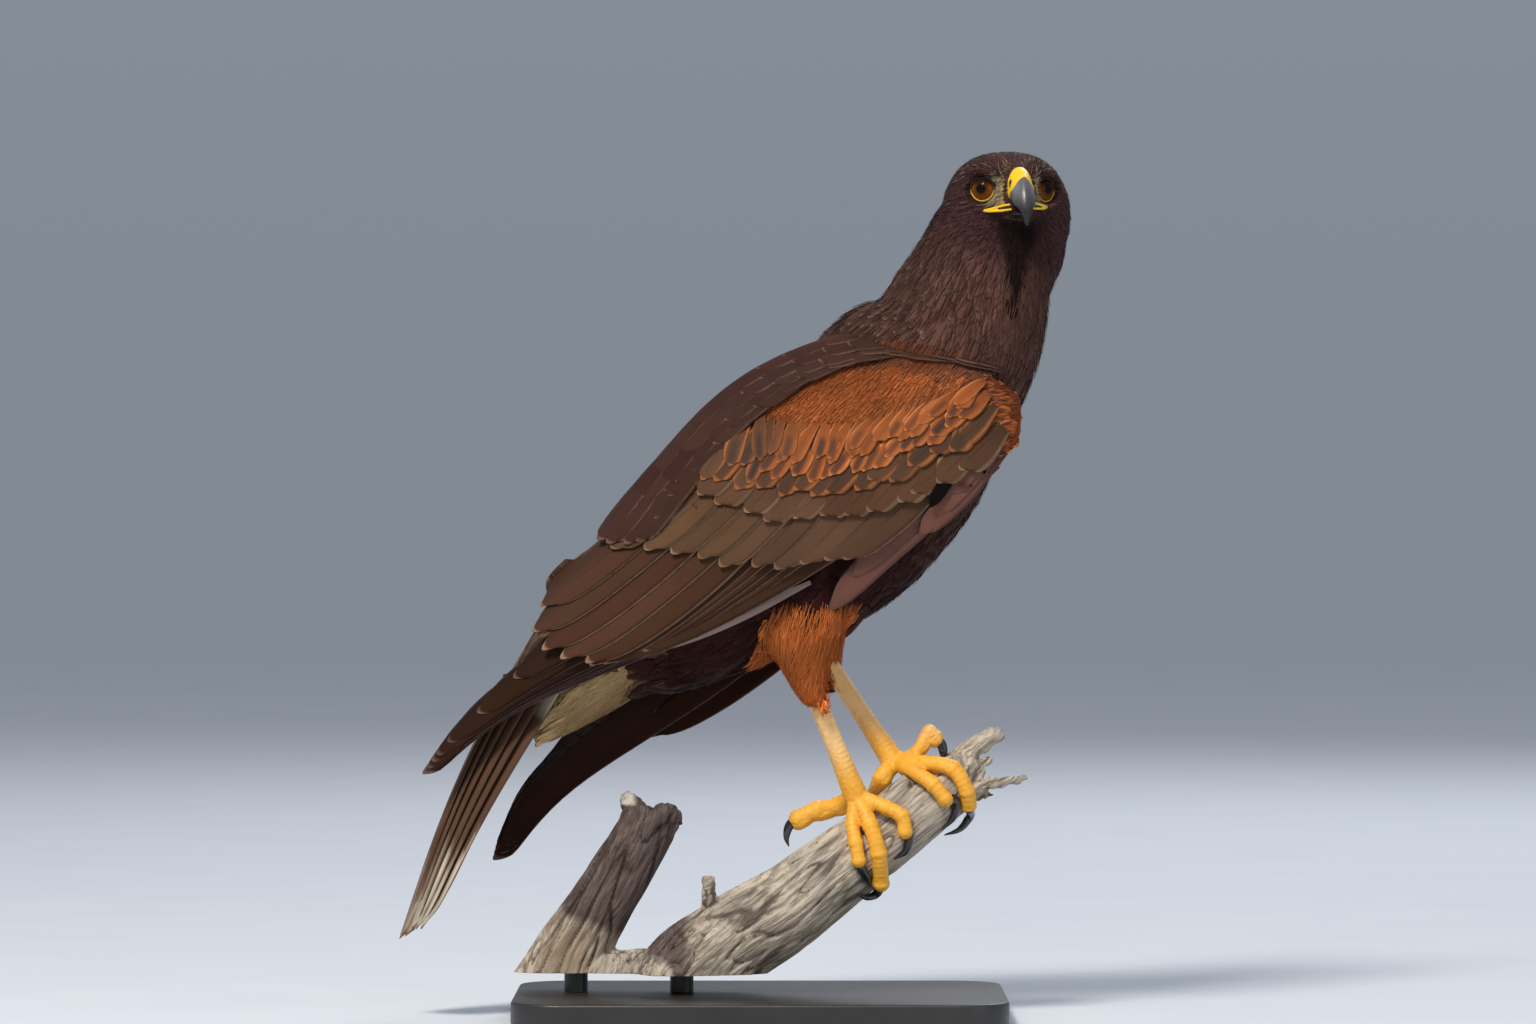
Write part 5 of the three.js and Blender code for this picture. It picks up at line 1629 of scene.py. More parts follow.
# %% Where the covert rows and the scapulars lie
SCALE_ROWS = (
    (0, 0, 8.8, 12, 33, 1),
    (-8, 13, 6.6, 15, 27, 1),
    (-14, 22, 4.8, 19, 21, 0.93),
    (-20, 30, 4.0, 22, 17, 0.86),
)
SCAPULAR_ROWS = ((18, 178, 13.5, 0.5), (10, 186, 9, 1.0), (4, 192, 4, 1.5), (2, 198, -2, 1.9))
median_u = through((0, 46), (0.25, 78), (0.5, 113), (0.75, 142), (1, 166))
median_v = through((0, -8), (0.25, -4), (0.5, 6), (0.75, 24), (1, 50))


def scale_row(row, stray):
    """One row of coverts over the greater ones; each row is higher up and smaller."""
    du, dv, half, count, long, last = SCALE_ROWS[row]
    made = []
    for f in np.arange(count) / (count - 1):
        u, v = median_u(f * last) + du, median_v(f * last)
        tip = u + stray(2.6 + row), v + dv * mix(1, 0.55, f) + stray(1.6 + 0.9 * row)
        wide = half * (1 + stray(0.16))
        lift = through((0, -3.4 + 0.4 * row), (0.4, -0.9 + 0.4 * row), (1, 0.1 + 0.36 * row + stray(0.2)))
        made.append(feather((u - long, v + dv + 0.27 * long), tip, wide, lift, -0.08, stray(0.8)))
    return made


def scapular_row(first, last, low, high, stray):
    """One row of the feathers that fall from the back over the wing's upper edge."""
    made = []
    for f in np.arange(14) / 13:
        u = mix(first, last, f)
        end = u + mix(6, 24, f)
        start_v = back_edge(max(u - 22, -4)) - low * mix(0.5, 1, f) - 1
        root = max(u - mix(22, 30, f), -4) + stray(1), start_v
        tip = end + stray(3), back_edge(end) - low * mix(0.6, 1.2, f) - 3 - 4 * f * f + stray(1)
        wide = mix(4.4, 7.6, f) * (1 + stray(0.1))
        lift = through((0, -2.6), (0.35, high - 1.1), (1, high * mix(1, 0.35, f)))
        made.append(feather(root, tip, wide, lift, -0.05))
    return made


def over_back(place, name):
    """The sheet again, but past the wing's upper edge it turns inwards over the back."""

    def turned(u, v, lift):
        u, v, lift = np.broadcast_arrays(np.asarray(u, float), v, lift)
        past = np.maximum(v - back_edge(u) + 2.5, 0)
        inward = ACROSS * (SIDES[name] * past)[..., None]
        return place(u, v - past, lift) - inward + UP * (0.25 * past - 0.03 * past**2)[..., None]

    return turned


print("covert rows:", len(SCALE_ROWS), "scapular rows:", len(SCAPULAR_ROWS))

# %% All tiers of a wing
SECONDARY = seen(76, 49, 35)
GREATER = seen(92, 66, 48)
MEDIAN = seen(92, 64, 46)
PRIMARY = seen(46, 26, 18)
ALULA = seen(112, 74, 64)
LIGHT_RUFOUS = seen(204, 128, 74)
SCAPULAR = seen(61, 38, 31)
EDGE_TAN = seen(150, 118, 90)
EDGE_RUST = seen(160, 96, 54)
EDGE_GREY = seen(120, 96, 86)
TIERS = {
    "primaries": (POINTED, 28, PRIMARY, EDGE_GREY, 0.05, 0.06, 1, 0.2),
    "secondaries": (LONG, 26, SECONDARY * 0.8, EDGE_TAN, 0.1, 0.13, 2, 0.3),
    "tertials": (LONG, 26, SECONDARY, EDGE_TAN, 0.16, 0.2, 12, 0.25),
    "greater": (BROAD, 16, GREATER, EDGE_TAN, 0.22, 0.27, 3, 0.25, 0.07),
    "hand": (BROAD, 18, ALULA, EDGE_GREY, 0.08, 0.34, 6, 0.15),
    "thumb": (BROAD, 12, ALULA, EDGE_GREY, 0.08, 0.41, 7, 0.15),
    "scapulars": (BROAD, 12, SCAPULAR, seen(112, 84, 68), 0.34, 0.46, 8, 0.0, 0.14),
    # The slot is a near-black feather that stands for the shadow in the gap below the wrist: a painted
    # shadow.
    "slot": (BROAD, 10, seen(14, 7, 6), seen(14, 7, 6), 0.0, 0.76, 30),
    "pale_quill": (LONG, 22, seen(150, 130, 124), EDGE_GREY, 0.1, 0.8, 31),
    "beneath": (LONG, 24, PRIMARY, EDGE_GREY, 0.08, 0.84, 32),
}
ROW_LOOKS = (
    (MEDIAN, EDGE_TAN * 1.1, 0.45, 0, 0),
    (MEDIAN * 0.9, EDGE_RUST * 1.15, 0.8, 0.1, 0.4),
    (RUFOUS * 0.85, LIGHT_RUFOUS, 0.6, 0.55, 1),
    (RUFOUS * 0.8, LIGHT_RUFOUS * 0.85, 0.5, 0.1, 0.9),
)


def covert_tier(place, feathers, row):
    """One covert row as a mesh; towards the elbow its colour turns into that of the median coverts."""
    n = len(feathers)
    ground, edge, wide, least, most = ROW_LOOKS[row]
    streaks = np.random.default_rng(row).uniform(least, most, (n, 1, 1))
    far = ease(np.linspace(0, 1, n), 0.72, 1.0) * (row > 0)
    colours = blend(ground, MEDIAN, 0.9 * far), blend(edge, EDGE_RUST, far)
    name, cell = f"scale_row_{row}", 0.52 + 0.06 * row
    return tier(name, place, feathers, SCALE, 12, *colours, wide, cell, 20 + row, 0.1, 0.07, streaks)


def wing_tiers(name):
    place = wing_place(name)
    draw = random.Random(5)

    def stray(size):
        return draw.uniform(-size, size)

    rows = long_feathers(name, stray)
    scales = [scale_row(row, stray) for row in range(len(SCALE_ROWS))]
    rows["scapulars"] = [one for row in SCAPULAR_ROWS for one in scapular_row(*row, stray)]
    if name == "right":
        # Painted shadow: a near-black feather laid in the gap below the wrist.
        rows["slot"] = [feather((37, 0), (67, -15), 3.6, LIFTS["slot"])]
        rows["pale_quill"] = [feather((138, -19.5), (222, -8), 3, LIFTS["pale_quill"], -0.1, -1.5)]
    sheets = {"scapulars": over_back(place, name)}
    looks = {key: look for key, look in TIERS.items() if key in rows}
    parts = [tier(key, sheets.get(key, place), rows[key], *look) for key, look in looks.items()]
    parts += [covert_tier(place, feathers, row) for row, feathers in enumerate(scales)]
    return join_all(f"flight_feathers_{name}", parts)


long_vane = vane_finish("flight_feathers", 44.0, shine=0.06, rough=0.7, relief=0.2, tip=0.1)
for name in SIDES:
    hand_over(paint(wing_tiers(name), long_vane), "plumage_wing", f"wing_{name}")

# %% [markdown]
# ## The rufous shoulder
#
# The lesser coverts are small, soft and close, so they blur into one rufous sheet, and only the lower rows
# show a dark streak along the shaft. They grow on the skin of the arm like the coat of the body, with the
# wing's own direction.

# %% Roots on a shoulder
row_v = through((-8, -8), (46, -8), (78, -4), (113, 6), (142, 24), (166, 50))


class Shoulder:
    """Where one shoulder's feathers may grow, and shares of its lower rows and of its bend."""

    def __init__(self, name):
        self.name = name
        self.points = skin_spots
        self.out = np.concatenate([face_normals, face_normals])[:, 1] * SIDES[name]
        u, v, off = to_sheet(skin_spots, name)
        self.u, self.v = u, v
        arm_u = np.clip(u, -4, 172)
        inside = (u > -8) & (u < 168) & (v > arm_low(arm_u) - 4) & (v < arm_high(arm_u) + 1)
        upper = (v > row_v(u) + 7) | (u < 34)
        outer = (skin_spots[:, 1] * SIDES[name] > 14) & (self.out > -0.2)
        self.low = 1 - ease(v - row_v(u), 24, 58)
        self.wrist = ease(-u, -26, -6) * ease(-v, -34, -16)
        self.keep(np.nonzero(outer & upper & inside & (off < 13))[0])

    def keep(self, chosen):
        for key in ("points", "out", "u", "v", "low", "wrist"):
            setattr(self, key, getattr(self, key)[chosen])

    def thin_out(self, gap, seed):
        self.keep(scatter(self.points, gap, seed))

    def heading(self):
        """The way that the feathers point."""
        place = wing_place(self.name)
        down = mix(-1.0 - 1.2 * self.low, 1.8, self.wrist)
        return unit(place(self.u + 4, self.v + down, 0.0) - place(self.u, self.v, 0.0))

    def front(self):
        return ease(-self.v, 4, 12) * ease(self.u, 18, 34)

    def colour(self):
        rusty = ease(self.v / arm_high(self.u), 0.6, 1.0) * 0.5 + 0.4 * self.wrist
        colour = blend(blend(RUFOUS, RUST, rusty), LIGHT_RUFOUS, 0.5 * self.low * (1 - self.wrist))
        return blend(colour, ALULA, self.front()) * patchy(self.points, 16.0, 0.3)


print("spots on the right shoulder:", len(Shoulder("right").points))

# %% Lesser coverts and loose barbs


def lesser_coverts(name):
    here = Shoulder(name)
    here.thin_out(mix(2.1 + 1.3 * here.low, 3.3, here.wrist), 31)
    draw = np.random.default_rng(32)
    n, low, wrist = len(here.points), here.low, here.wrist
    sideways = wrist * ease(here.out, 0.5, 0.75)
    colour = here.colour() * draw.uniform(0.92, 1.07, (n, 1))
    length = mix(mix(8.5 + 5.5 * low, 7.0, wrist), 12.0, sideways) * draw.uniform(0.85, 1.15, n)
    rise = mix(0.95 + 0.5 * low, 0.9, wrist)[:, None] * draw.uniform(0.85, 1.15, (n, 1))
    rise = rise * SHARES[None] ** 0.75 - 0.25
    *path, face = walk(here.points, astray(here.heading(), 0.05, draw), length, SHARES, rise, 0.15)
    half = length * mix(0.27, 0.2, wrist)
    points = ragged_points(path, half, ROUND, 0.1, length * 0.12, 0.06, draw, turn=0.025, **FEATHER)
    dark = np.clip(1.5 * low - 0.25, 0, 0.85) * (1 - here.front()) * (draw.random(n) < 0.55)
    streak = np.clip(dark * (1 - wrist) + 0.55 * wrist + 0.4 * sideways, 0, 0.9)
    edge = np.concatenate([colour * 1.12, (0.4 - 0.4 * (wrist - sideways))[:, None]], -1)[:, None, None]
    tint = tints(colour, streak=streak, root_tone=0.85, **FEATHER)
    return blades(f"lesser_coverts_{name}", points, vane_map(**FEATHER), tint, edge, face_patch[face])


def shoulder_barbs(name):
    here = Shoulder(name)
    here.thin_out(1.35 + 0.5 * here.wrist, 35)
    draw = np.random.default_rng(36)
    wrist = here.wrist
    colour = here.colour() * draw.uniform(0.8, 1.2, (len(wrist), 1)) * (1 - 0.4 * wrist)[:, None]
    long, high = 8.5 - 2.5 * wrist, 1.7 - 0.9 * wrist
    name = f"shoulder_barbs_{name}"
    return wisps(name, here.points, here.heading(), long, high, colour, 0.18, 37, 0.1, 0.07)


for name in SIDES:
    for make in (lesser_coverts, shoulder_barbs):
        hand_over(paint(make(name), small_vane), "plumage_rufous")

# %% [markdown]
# ## The tail
#
# Twelve long feathers lie like a roof: the middle pair on top, and each of the others a step lower and
# further out. They are dark brown with a white end, broken into streaks by wear, and white again at the root.

# %% Tail feathers
TAIL_FEATHERS = 12
TAIL_BROWN = seen(98, 70, 54)
TAIL_EDGE = np.concatenate([seen(116, 88, 70), [0.12]])[None, None, None]
WHITE_END = seen(216, 204, 182)
WORN_END = through((0, 0.4), (0.3, 0.92), (0.7, 1), (0.88, 0.95), (0.95, 0.72), (1, 0.2))


def tail_sheet(step):
    """The sheet of one tail feather, for u down it and a across it."""
    rank = abs(step)
    sign = 1 if step > 0 else -1
    lower = rank + 0.3 if step < 0 else rank

    def place(u, a, lift):
        share = np.clip(u / TAIL_LENGTH, 0, 1.05)
        fall = 1.3 - 0.8 * share
        sink = (0.3 * lower * lower + 1.5 * lower) * fall
        roll = sign * (0.09 * rank + 0.009 * rank * rank) * fall
        return tail_place(u, (1.9 + 1.8 * share) * step + a, sink + roll * a - lift)

    return place


def tail_colour(k, rank, vane, draw):
    """Brown, with a pale end and a white root both broken into streaks along the barbs; painted shade at the
    edges.
    """
    s, x = vane[..., 1], vane[..., 0] * 2 - 1
    brown = np.broadcast_to(TAIL_BROWN * draw.uniform(0.85, 1.12), (*s.shape, 3))
    # Painted shade along both edges, where the feathers overlap.
    brown = brown * (1 - 0.12 * ease(np.abs(x), 0.5, 1))[..., None]
    broken = 0.05 * np.sin(x * 17 + k) + 0.04 * np.sin(x * 31 + 2 * k)
    end = ease(s + broken * (1 + ease(rank, 0, 3)), 0.78, 0.85) * (0.45 + 0.55 * ease(rank, 1, 4))
    end = end * (0.72 + 0.28 * np.sin(x * 23 + 9 * s + 3 * k))
    root = ease(-s, -0.3, -0.24) * ease(rank, 4.4, 5.4)
    colour = blend(brown, WHITE_END, np.maximum(end, root))
    return np.concatenate([colour, np.zeros((*s.shape, 1))], -1)[None]


parts = []
for k in range(TAIL_FEATHERS):
    step = k - (TAIL_FEATHERS - 1) / 2
    rank = abs(step)
    long = TAIL_LENGTH - 0.35 * rank * rank - k * 7 % 5
    arch = (0.3, 0.14, 0.06)[max(int(rank) - 3, 0)]
    flat = feather((6, 0), (long, 0), 10.5, lambda s: 0 * s)
    points, vane = quills(tail_sheet(step), [flat], WORN_END, 34, thick=0.3, camber=arch, round_tip=0.5)
    tint = tail_colour(k, rank, vane, np.random.default_rng(60 + k))
    patch = np.array([[0.06 + 0.08 * k, 0.5]])
    parts.append(blades(f"tail_{k}", points, vane, tint, TAIL_EDGE, patch))
    stretch_map(parts[-1], vane, patch, 0.07, 0.9)
hand_over(paint(join_all("tail_feathers", parts), long_vane), "plumage_tail", "tail")

# %% [markdown]
# ## Eyes
#
# A hawk's eye is large, set deep under a ledge of brow, and looks half forward. Each is a ball turned to its
# own line of sight, with a low bulge for the cornea. The colours run in rings about that line: black pupil,
# amber iris with fine fibres, a dark rim. A clear coat on the finish gives the wet highlight.

# %% Eye balls


def eye_ball(name):
    centre, out, up, rear = eye_axes(SIDES[name])
    bpy.ops.object.select_all(action="DESELECT")
    bpy.ops.mesh.primitive_uv_sphere_add(segments=96, ring_count=64, radius=1)
    ball = bpy.context.object
    ball.name = f"eyeball_{name}"
    x, y, z = np.array([v.co[:] for v in ball.data.vertices]).T
    apart = np.sqrt(x * x + y * y) * EYE["radius"]
    bulge = 0.5 * np.maximum(1 - (apart / 5.8) ** 2, 0) * (z > 0)
    disc = (rear * x[:, None] + up * y[:, None]) * EYE["radius"] * 0.995
    move_points(ball, centre + disc + out * (z * EYE["radius"] * 0.985 + bulge - 0.3)[:, None])
    outward(ball)
    kept = points_of(ball) - centre
    a, b = kept @ rear, kept @ up
    ring = np.where(kept @ out > 0, np.hypot(a, b), 8)
    turn = np.arctan2(b, a)
    tinted(ball, "rings", np.stack([ring / 8, 0.5 + 0.5 * np.cos(turn), 0.5 + 0.5 * np.sin(turn)], -1))
    return shade(ball)


wet = {"Coat_Weight": 0.22, "Coat_Roughness": 0.015, "Coat_IOR": 1.35}
amber = Finish("amber_eye", Roughness=0.35, Specular_IOR_Level=0.02, **wet)
rings = amber.stored("rings", "Vector")
split = amber.apart(rings)
radius = split["X"]
spread_out = amber.node("ShaderNodeMapping", {"Vector": rings, "Scale": (3.0, 16.0, 16.0)}).outputs[0]
fibres = amber.noise(spread_out, 1.6, 6.0, 0.7)
IRIS = (
    (0.27, (0.04, 0.009, 0.002)),
    (0.44, (0.12, 0.03, 0.004)),
    (0.62, (0.25, 0.075, 0.008)),
    (0.73, (0.08, 0.022, 0.005)),
)
iris = amber.shaded(amber.smooth(fibres, 0.35, 0.7, 0.0, 0.55), amber.ramp(radius, *IRIS), 0.5, 0.4, 0.35)
eye_colour = amber.mix(amber.smooth(radius, 0.30, 0.32, 1.0, 0.0), iris, (0.004, 0.003, 0.003, 1))
eye_colour = amber.mix(amber.smooth(radius, 0.74, 0.78), eye_colour, (0.012, 0.008, 0.007, 1))
upper_half = amber.math("MULTIPLY_ADD", split["Z"], 2.0, -1.0)
brow_shade = amber.smooth(amber.times(radius, upper_half), 0.04, 0.42, 0.0, 0.9)
amber.colour(amber.mix(brow_shade, eye_colour, (0.012, 0.006, 0.004, 1)))
for name in SIDES:
    hand_over(paint(eye_ball(name), amber), "eye", f"eye_{name}")

# %% [markdown]
# ## Lids
#
# Each lid is a soft rim that rolls round the opening and slopes back under the skin of the face. One closed
# band is swept round the line of sight; its opening is a little flat on top. The rim's edge is dark, and the
# bare skin below the eye is yellow.

# %% Bands of eyelid
BAND = [(0.0, 7.75), (0.12, 8.3), (0.6, 8.7), (1.4, 8.7), (2.8, 8.3), (4.2, 7.4), (3.2, 6.8), (1.3, 7.2)]
LID_YELLOW = seen(206, 160, 62)
LID_DARK = seen(44, 34, 32)


def lid_opening(angle):
    return 5.75 - 0.7 * np.clip(np.sin(angle), 0, 1) ** 2


def lid_colour(ring, angle):
    edge = ring - lid_opening(angle)
    low = ease(-np.sin(angle), -0.1, 0.5) * ease(edge, -0.1, 0.15) * (1 - ease(edge, 0.7, 1.2))
    front = ease(-np.cos(angle), -0.2, 0.6) * ease(edge, 1.0, 2.0)
    return blend(blend(LID_DARK, LID_YELLOW, low), LORE * 0.5, front)


def eyelids(name):
    centre, out, up, rear = eye_axes(SIDES[name])
    a = angles(120)
    rows = []
    for reach, stand in BAND:
        ring = lid_opening(a) + reach
        high = np.sqrt(np.maximum(stand**2 - ring**2, 0.2))
        circle = (rear * np.cos(a)[:, None] + up * np.sin(a)[:, None]) * ring[:, None]
        rows.append(centre + circle + out * high[:, None])
    grid = np.stack(rows, 1)
    index = np.arange(grid.size // 3).reshape(grid.shape[:2])
    ahead = np.roll(index, -1, 0)
    quads = np.stack([index, np.roll(index, -1, 1), np.roll(ahead, -1, 1), ahead], -1).reshape(-1, 4)
    band = rounded(outward(mesh_object(f"lids_{name}", grid.reshape(-1, 3), quads)))
    kept = points_of(band) - centre
    b, c = kept @ rear, kept @ up
    return shade(tinted(band, "tint", lid_colour(np.hypot(b, c), np.arctan2(c, b))))


soft = {"Subsurface_Weight": 0.08, "Subsurface_Scale": 0.002}
bare_skin = Finish("bare_skin", Roughness=0.5, Specular_IOR_Level=0.35, **soft)
pores = bare_skin.noise(bare_skin.place(), 900.0, 3.0)
worn = bare_skin.smooth(pores, 0.4, 0.7, 0.0, 0.3)
bare_skin.colour(bare_skin.shaded(worn, bare_skin.stored(), 0.62, 0.55, 0.45)).bump(pores, 0.3, 0.00015)
for name in SIDES:
    hand_over(paint(eyelids(name), bare_skin), "plumage_dark")

# %% [markdown]
# ## Cere, lips and bill
#
# The cere is waxy yellow skin over the root of the bill, with a nostril in each side, and it runs back as
# bright lips along the mouth. The horn of the bill starts under its edge, grey-blue at first and black at
# the hooked tip. Both follow one profile, drawn as rings; the cere is fused with the lips, and the nostrils
# are cut by small balls.

# %% Profile of the bill
BILL = [
    (-0.3, 23, 13.4, 21, -9, 8),
    (0, 31.5, 13.4, 29.5, -7.4, 6.5),
    (0.12, 36, 11.8, 33.5, -7.4, 6),
    (0.3, 41.2, 7.8, 38, -8.2, 5.8),
    (0.5, 45.6, 2, 41.6, -8.8, 5.5),
    (0.7, 48.4, -4.4, 44.6, -9.6, 3.9),
    (0.86, 49.2, -10.4, 46.6, -12, 2.3),
    (1, 48.2, -17, 47.4, -16.2, 0.7),
]
keel_depth = through((-0.3, 0), (0.05, 0.02), (0.3, 0.26), (1, 0.2))


def cere_edge(a):
    """Where the cere ends at each angle round the bill: far forward on the crest, early at the mouth."""
    return -0.06 + 0.36 * ease(np.cos(a), -0.75, 0.3)


def bill_rings(start, end, count, grow=0.0):
    """Rings of the bill's profile; start and end are numbers or functions of the angle."""
    a = angles(64)[None]
    start, end = (x(a) if callable(x) else x + 0 * a for x in (start, end))
    t = start + (end - start) * np.linspace(0, 1, count)[:, None]
    at, *columns = zip(*BILL)
    crest_f, crest_u, edge_f, edge_u, wide = (through(*zip(at, column))(t) for column in columns)
    tall = np.hypot(crest_f - edge_f, crest_u - edge_u)
    high = 0.5 + np.cos(a) * (0.5 + grow / tall)
    keel = 1 - (np.cos(a) + 0.5 * np.clip(np.cos(a), 0, 1) ** 2) * keel_depth(t)
    side = np.sin(a) * (wide + grow) * keel
    return on_head(edge_f + (crest_f - edge_f) * high, side, edge_u + (crest_u - edge_u) * high)


print("bill rings:", bill_rings(-0.3, 1, 90).shape)

# %% Cere and lips
LIPS = {
    "upper": [(20.5, 16.4, -8.2), (24, 14.4, -7.7), (28, 11.4, -6.9), (32, 8.4, -6.1), (36.5, 6, -5.8)],
    "lower": [(20, 16.5, -8.5), (24, 14.4, -8.9), (28, 11.2, -8.8), (32, 7.8, -8.5), (36.5, 5.4, -8.2)],
}
collar = bill_rings(lambda a: cere_edge(a) - 0.05, cere_edge, 6, 0.3)
parts = [loft("cere_body", bill_rings(-0.3, cere_edge, 30)), loft("cere_collar", collar)]
for key, line in LIPS.items():
    for side in (1, -1):
        points = [on_head(f, l * side, u + 0.13 * l * (side > 0)) for f, l, u in line]
        parts.append(limb(f"lip_{key}", points, (0.55, 0.62, 0.66, 0.7, 0.6), 28, 16, side=(0, 0, 1)))
cere = melt(join_all("cere_and_lips", parts), 0.4, 5)
nostrils = [on_head(34.4, 6.1 * side, 5.0) for side in (1, -1)]
for spot in nostrils:
    bpy.ops.object.select_all(action="DESELECT")
    bpy.ops.mesh.primitive_ico_sphere_add(subdivisions=3, radius=1, location=tuple(spot * MM))
    hole = bpy.context.object
    hole.scale = (1.3 * MM, 1.3 * MM, 1.8 * MM)
    bpy.ops.object.transform_apply(location=True, rotation=True, scale=True)
    cutter = cere.modifiers.new("nostril", "BOOLEAN")
    cutter.operation, cutter.solver, cutter.object = "DIFFERENCE", "EXACT", hole
    apply_modifiers(cere)
    bpy.data.objects.remove(hole)
outward(cere)
print("cere points:", len(cere.data.vertices))

# %% Waxy yellow
places = points_of(cere)
f, l, u = from_head(places)
colour = blend(seen(244, 196, 24), seen(214, 196, 96), ease(-f, -33, -25) * ease(u, -6, -1))
# Painted shade: the nostrils and a thin rim round them are dark brown, as in the depth of the holes.
nose = np.minimum(*(np.linalg.norm((places - spot) / (1, 1, 1.35), axis=1) for spot in nostrils))
tinted(cere, "tint", blend(colour, seen(40, 26, 12), ease(-nose, -1.9, -1.4)))
waxy = {"Subsurface_Weight": 0.12, "Subsurface_Scale": 0.003, "Coat_Weight": 0.1, "Coat_Roughness": 0.3}
wax = Finish("waxy_cere", Roughness=0.36, Specular_IOR_Level=0.45, **waxy)
blotches = wax.smooth(wax.noise(wax.place(), 420.0, 4.0), 0.45, 0.75, 0.0, 0.35)
wax.colour(wax.shaded(blotches, wax.stored(), 0.9, 0.62, 0.35))
wax.bump(wax.noise(wax.place(), 1500.0, 3.0), 0.2, 0.0001)
hand_over(paint(shade(cere), wax), "cere", "cere")

# %% Horn of the upper and lower bill
LOWER_BILL = [
    (22, 8, -10, -13.6),
    (30, 6, -8.6, -12.6),
    (36, 4.9, -8.6, -11.8),
    (41, 3.4, -9.2, -11.4),
    (43.4, 1.3, -10, -11.1),
]
upper = rounded(loft("bill_horn", bill_rings(lambda a: cere_edge(a) - 0.03, 1, 90)))
f, l, u = from_head(points_of(upper))
down = ease(-u, -9, 14)
side_light = ease(np.abs(l), 1.5, 5) * (1 - down)
grey = blend(seen(98, 94, 96), seen(138, 142, 148), side_light * 0.8)
tinted(upper, "tint", blend(grey, seen(22, 22, 26), down))
f, wide, top, bottom = (column[:, None] for column in stations_of(LOWER_BILL, 40))
a = angles(40)[None]
high = (top + bottom) / 2 - 0.5 + np.sin(a) * (top - bottom) / 2
lower = loft("lower_bill_horn", on_head(f + 0 * a, np.cos(a) * wide, high))
f, l, u = from_head(points_of(lower))
tinted(lower, "tint", blend(seen(96, 78, 30), seen(36, 34, 36), ease(f, 27, 33)))
horn = Finish("bill_horn", Roughness=0.32, Specular_IOR_Level=0.4, Coat_Weight=0.12, Coat_Roughness=0.2)
growth = horn.noise(horn.place(stretch=(1, 1, 4)), 260.0, 3.0)
horn.colour(horn.shaded(horn.smooth(growth, 0.4, 0.7, 0.0, 0.4), horn.stored(), 0.6, 0.62, 0.68))
horn.rough(horn.smooth(growth, 0.2, 0.8, 0.26, 0.42)).bump(growth, 0.12, 0.0002)
hand_over(paint(shade(upper), horn), "horn", "bill_upper")
hand_over(paint(shade(lower), horn), "horn", "bill_lower")

# %% [markdown]
# ## Bristles of the lores
#
# Between eye and bill the feathers are reduced to fine bristles that radiate from the corner of the cere.
# They are the same blades as the coat, but very thin, in one small mesh.

# %% Bristles
draw = np.random.default_rng(90)
spots, ways = [], []
for side in (1, -1):
    for _ in range(300):
        f, u = draw.uniform(17, 31), draw.uniform(-5.5, 14)
        spots.append(on_head(f, side * (8.5 + (31 - f) * 0.6), u))
        back, aside = -draw.uniform(0.5, 1), side * draw.uniform(0.2, 0.9)
        ways.append(on_head(back, aside, (u - 1) * 0.1 + draw.uniform(-0.25, 0.35)) - on_head(0, 0, 0))
spots, ways = np.array(spots), unit(np.array(ways))
clear = np.ones(len(spots), bool)
for eye in cornea_spots:
    for reach in (0, 2.5, 5):
        clear &= np.linalg.norm(spots + ways * reach - eye, axis=1) > 7.2
spots, ways = spots[clear], ways[clear]
n = len(spots)
pale = draw.random((n, 1)) < np.where(from_head(spots)[2] < 7, 0.7, 0.2)[:, None]
colour = np.where(pale, seen(178, 162, 130), seen(62, 44, 38))
bristles = wisps("bristles", spots, ways, draw.uniform(3.2, 6.4, n), 1.1, colour, 0.1, 91, 0.5, 0.1)
hand_over(paint(bristles, small_vane), "plumage_dark")

# %% [markdown]
# ## Legs and feet
#
# A hawk's foot is bare, scaled skin: broad plates down the front of the leg and along the top of each toe,
# small round scales elsewhere, and soft pads below. Leg and toes are limbs fused into one skin. Each point
# finds its place along the nearest toe and its turn round it, and the plates are raised from that.

# %% Toe lines: joints, claw, whether behind the branch, girth
TOES = {
    "right": [
        ([(36, 107), (25, 104.6), (15.5, 100.5)], [(11, 97), (9.4, 91), (10.6, 86.5)], True, 5.2),
        ([(60, 107), (68, 102.5), (69.5, 95)], [(71.5, 92.5), (70, 85), (64, 80.5)], False, 4.1),
        ([(52, 98), (56, 84), (57.5, 68.5)], [(55, 62.5), (50, 61), (45.5, 63)], False, 4.5),
        ([(43, 98), (44.5, 89), (46, 80.5)], [(47.5, 76), (50, 71.5), (51.5, 67)], False, 3.9),
    ],
    "left": [
        ([(58, 121), (55, 112)], [(51.5, 107), (49, 101), (48.5, 96)], True, 4.8),
        ([(76, 134), (82.5, 144.5), (86, 141)], [(88.5, 138.5), (89.5, 134), (89, 130)], True, 4),
        ([(80, 129), (94, 126.5), (101, 115), (102.5, 106)], [(103, 101.5), (98, 95), (90, 92)], False, 4.4),
        ([(75, 124.5), (84, 118.5), (90, 111)], [(95, 110.5), (94.5, 102), (88.5, 95)], False, 4.2),
    ],
}
main_radius = np.interp(np.linspace(0, 7, ARM_RINGS), range(8), [station[3] for station in MAIN_ARM])


def on_perch(x, z, clear, behind):
    """A point seen at x and z, set on the round of the branch."""
    far = np.hypot(main_line[:, 0] - x, main_line[:, 2] - z)
    k = int(np.argmin(far))
    reach = main_radius[k] * 1.03 + clear
    depth = math.sqrt(max(reach**2 - far[k] ** 2, 0))
    return np.array([x, main_line[k, 1] + (1 if behind else -1) * depth, z])


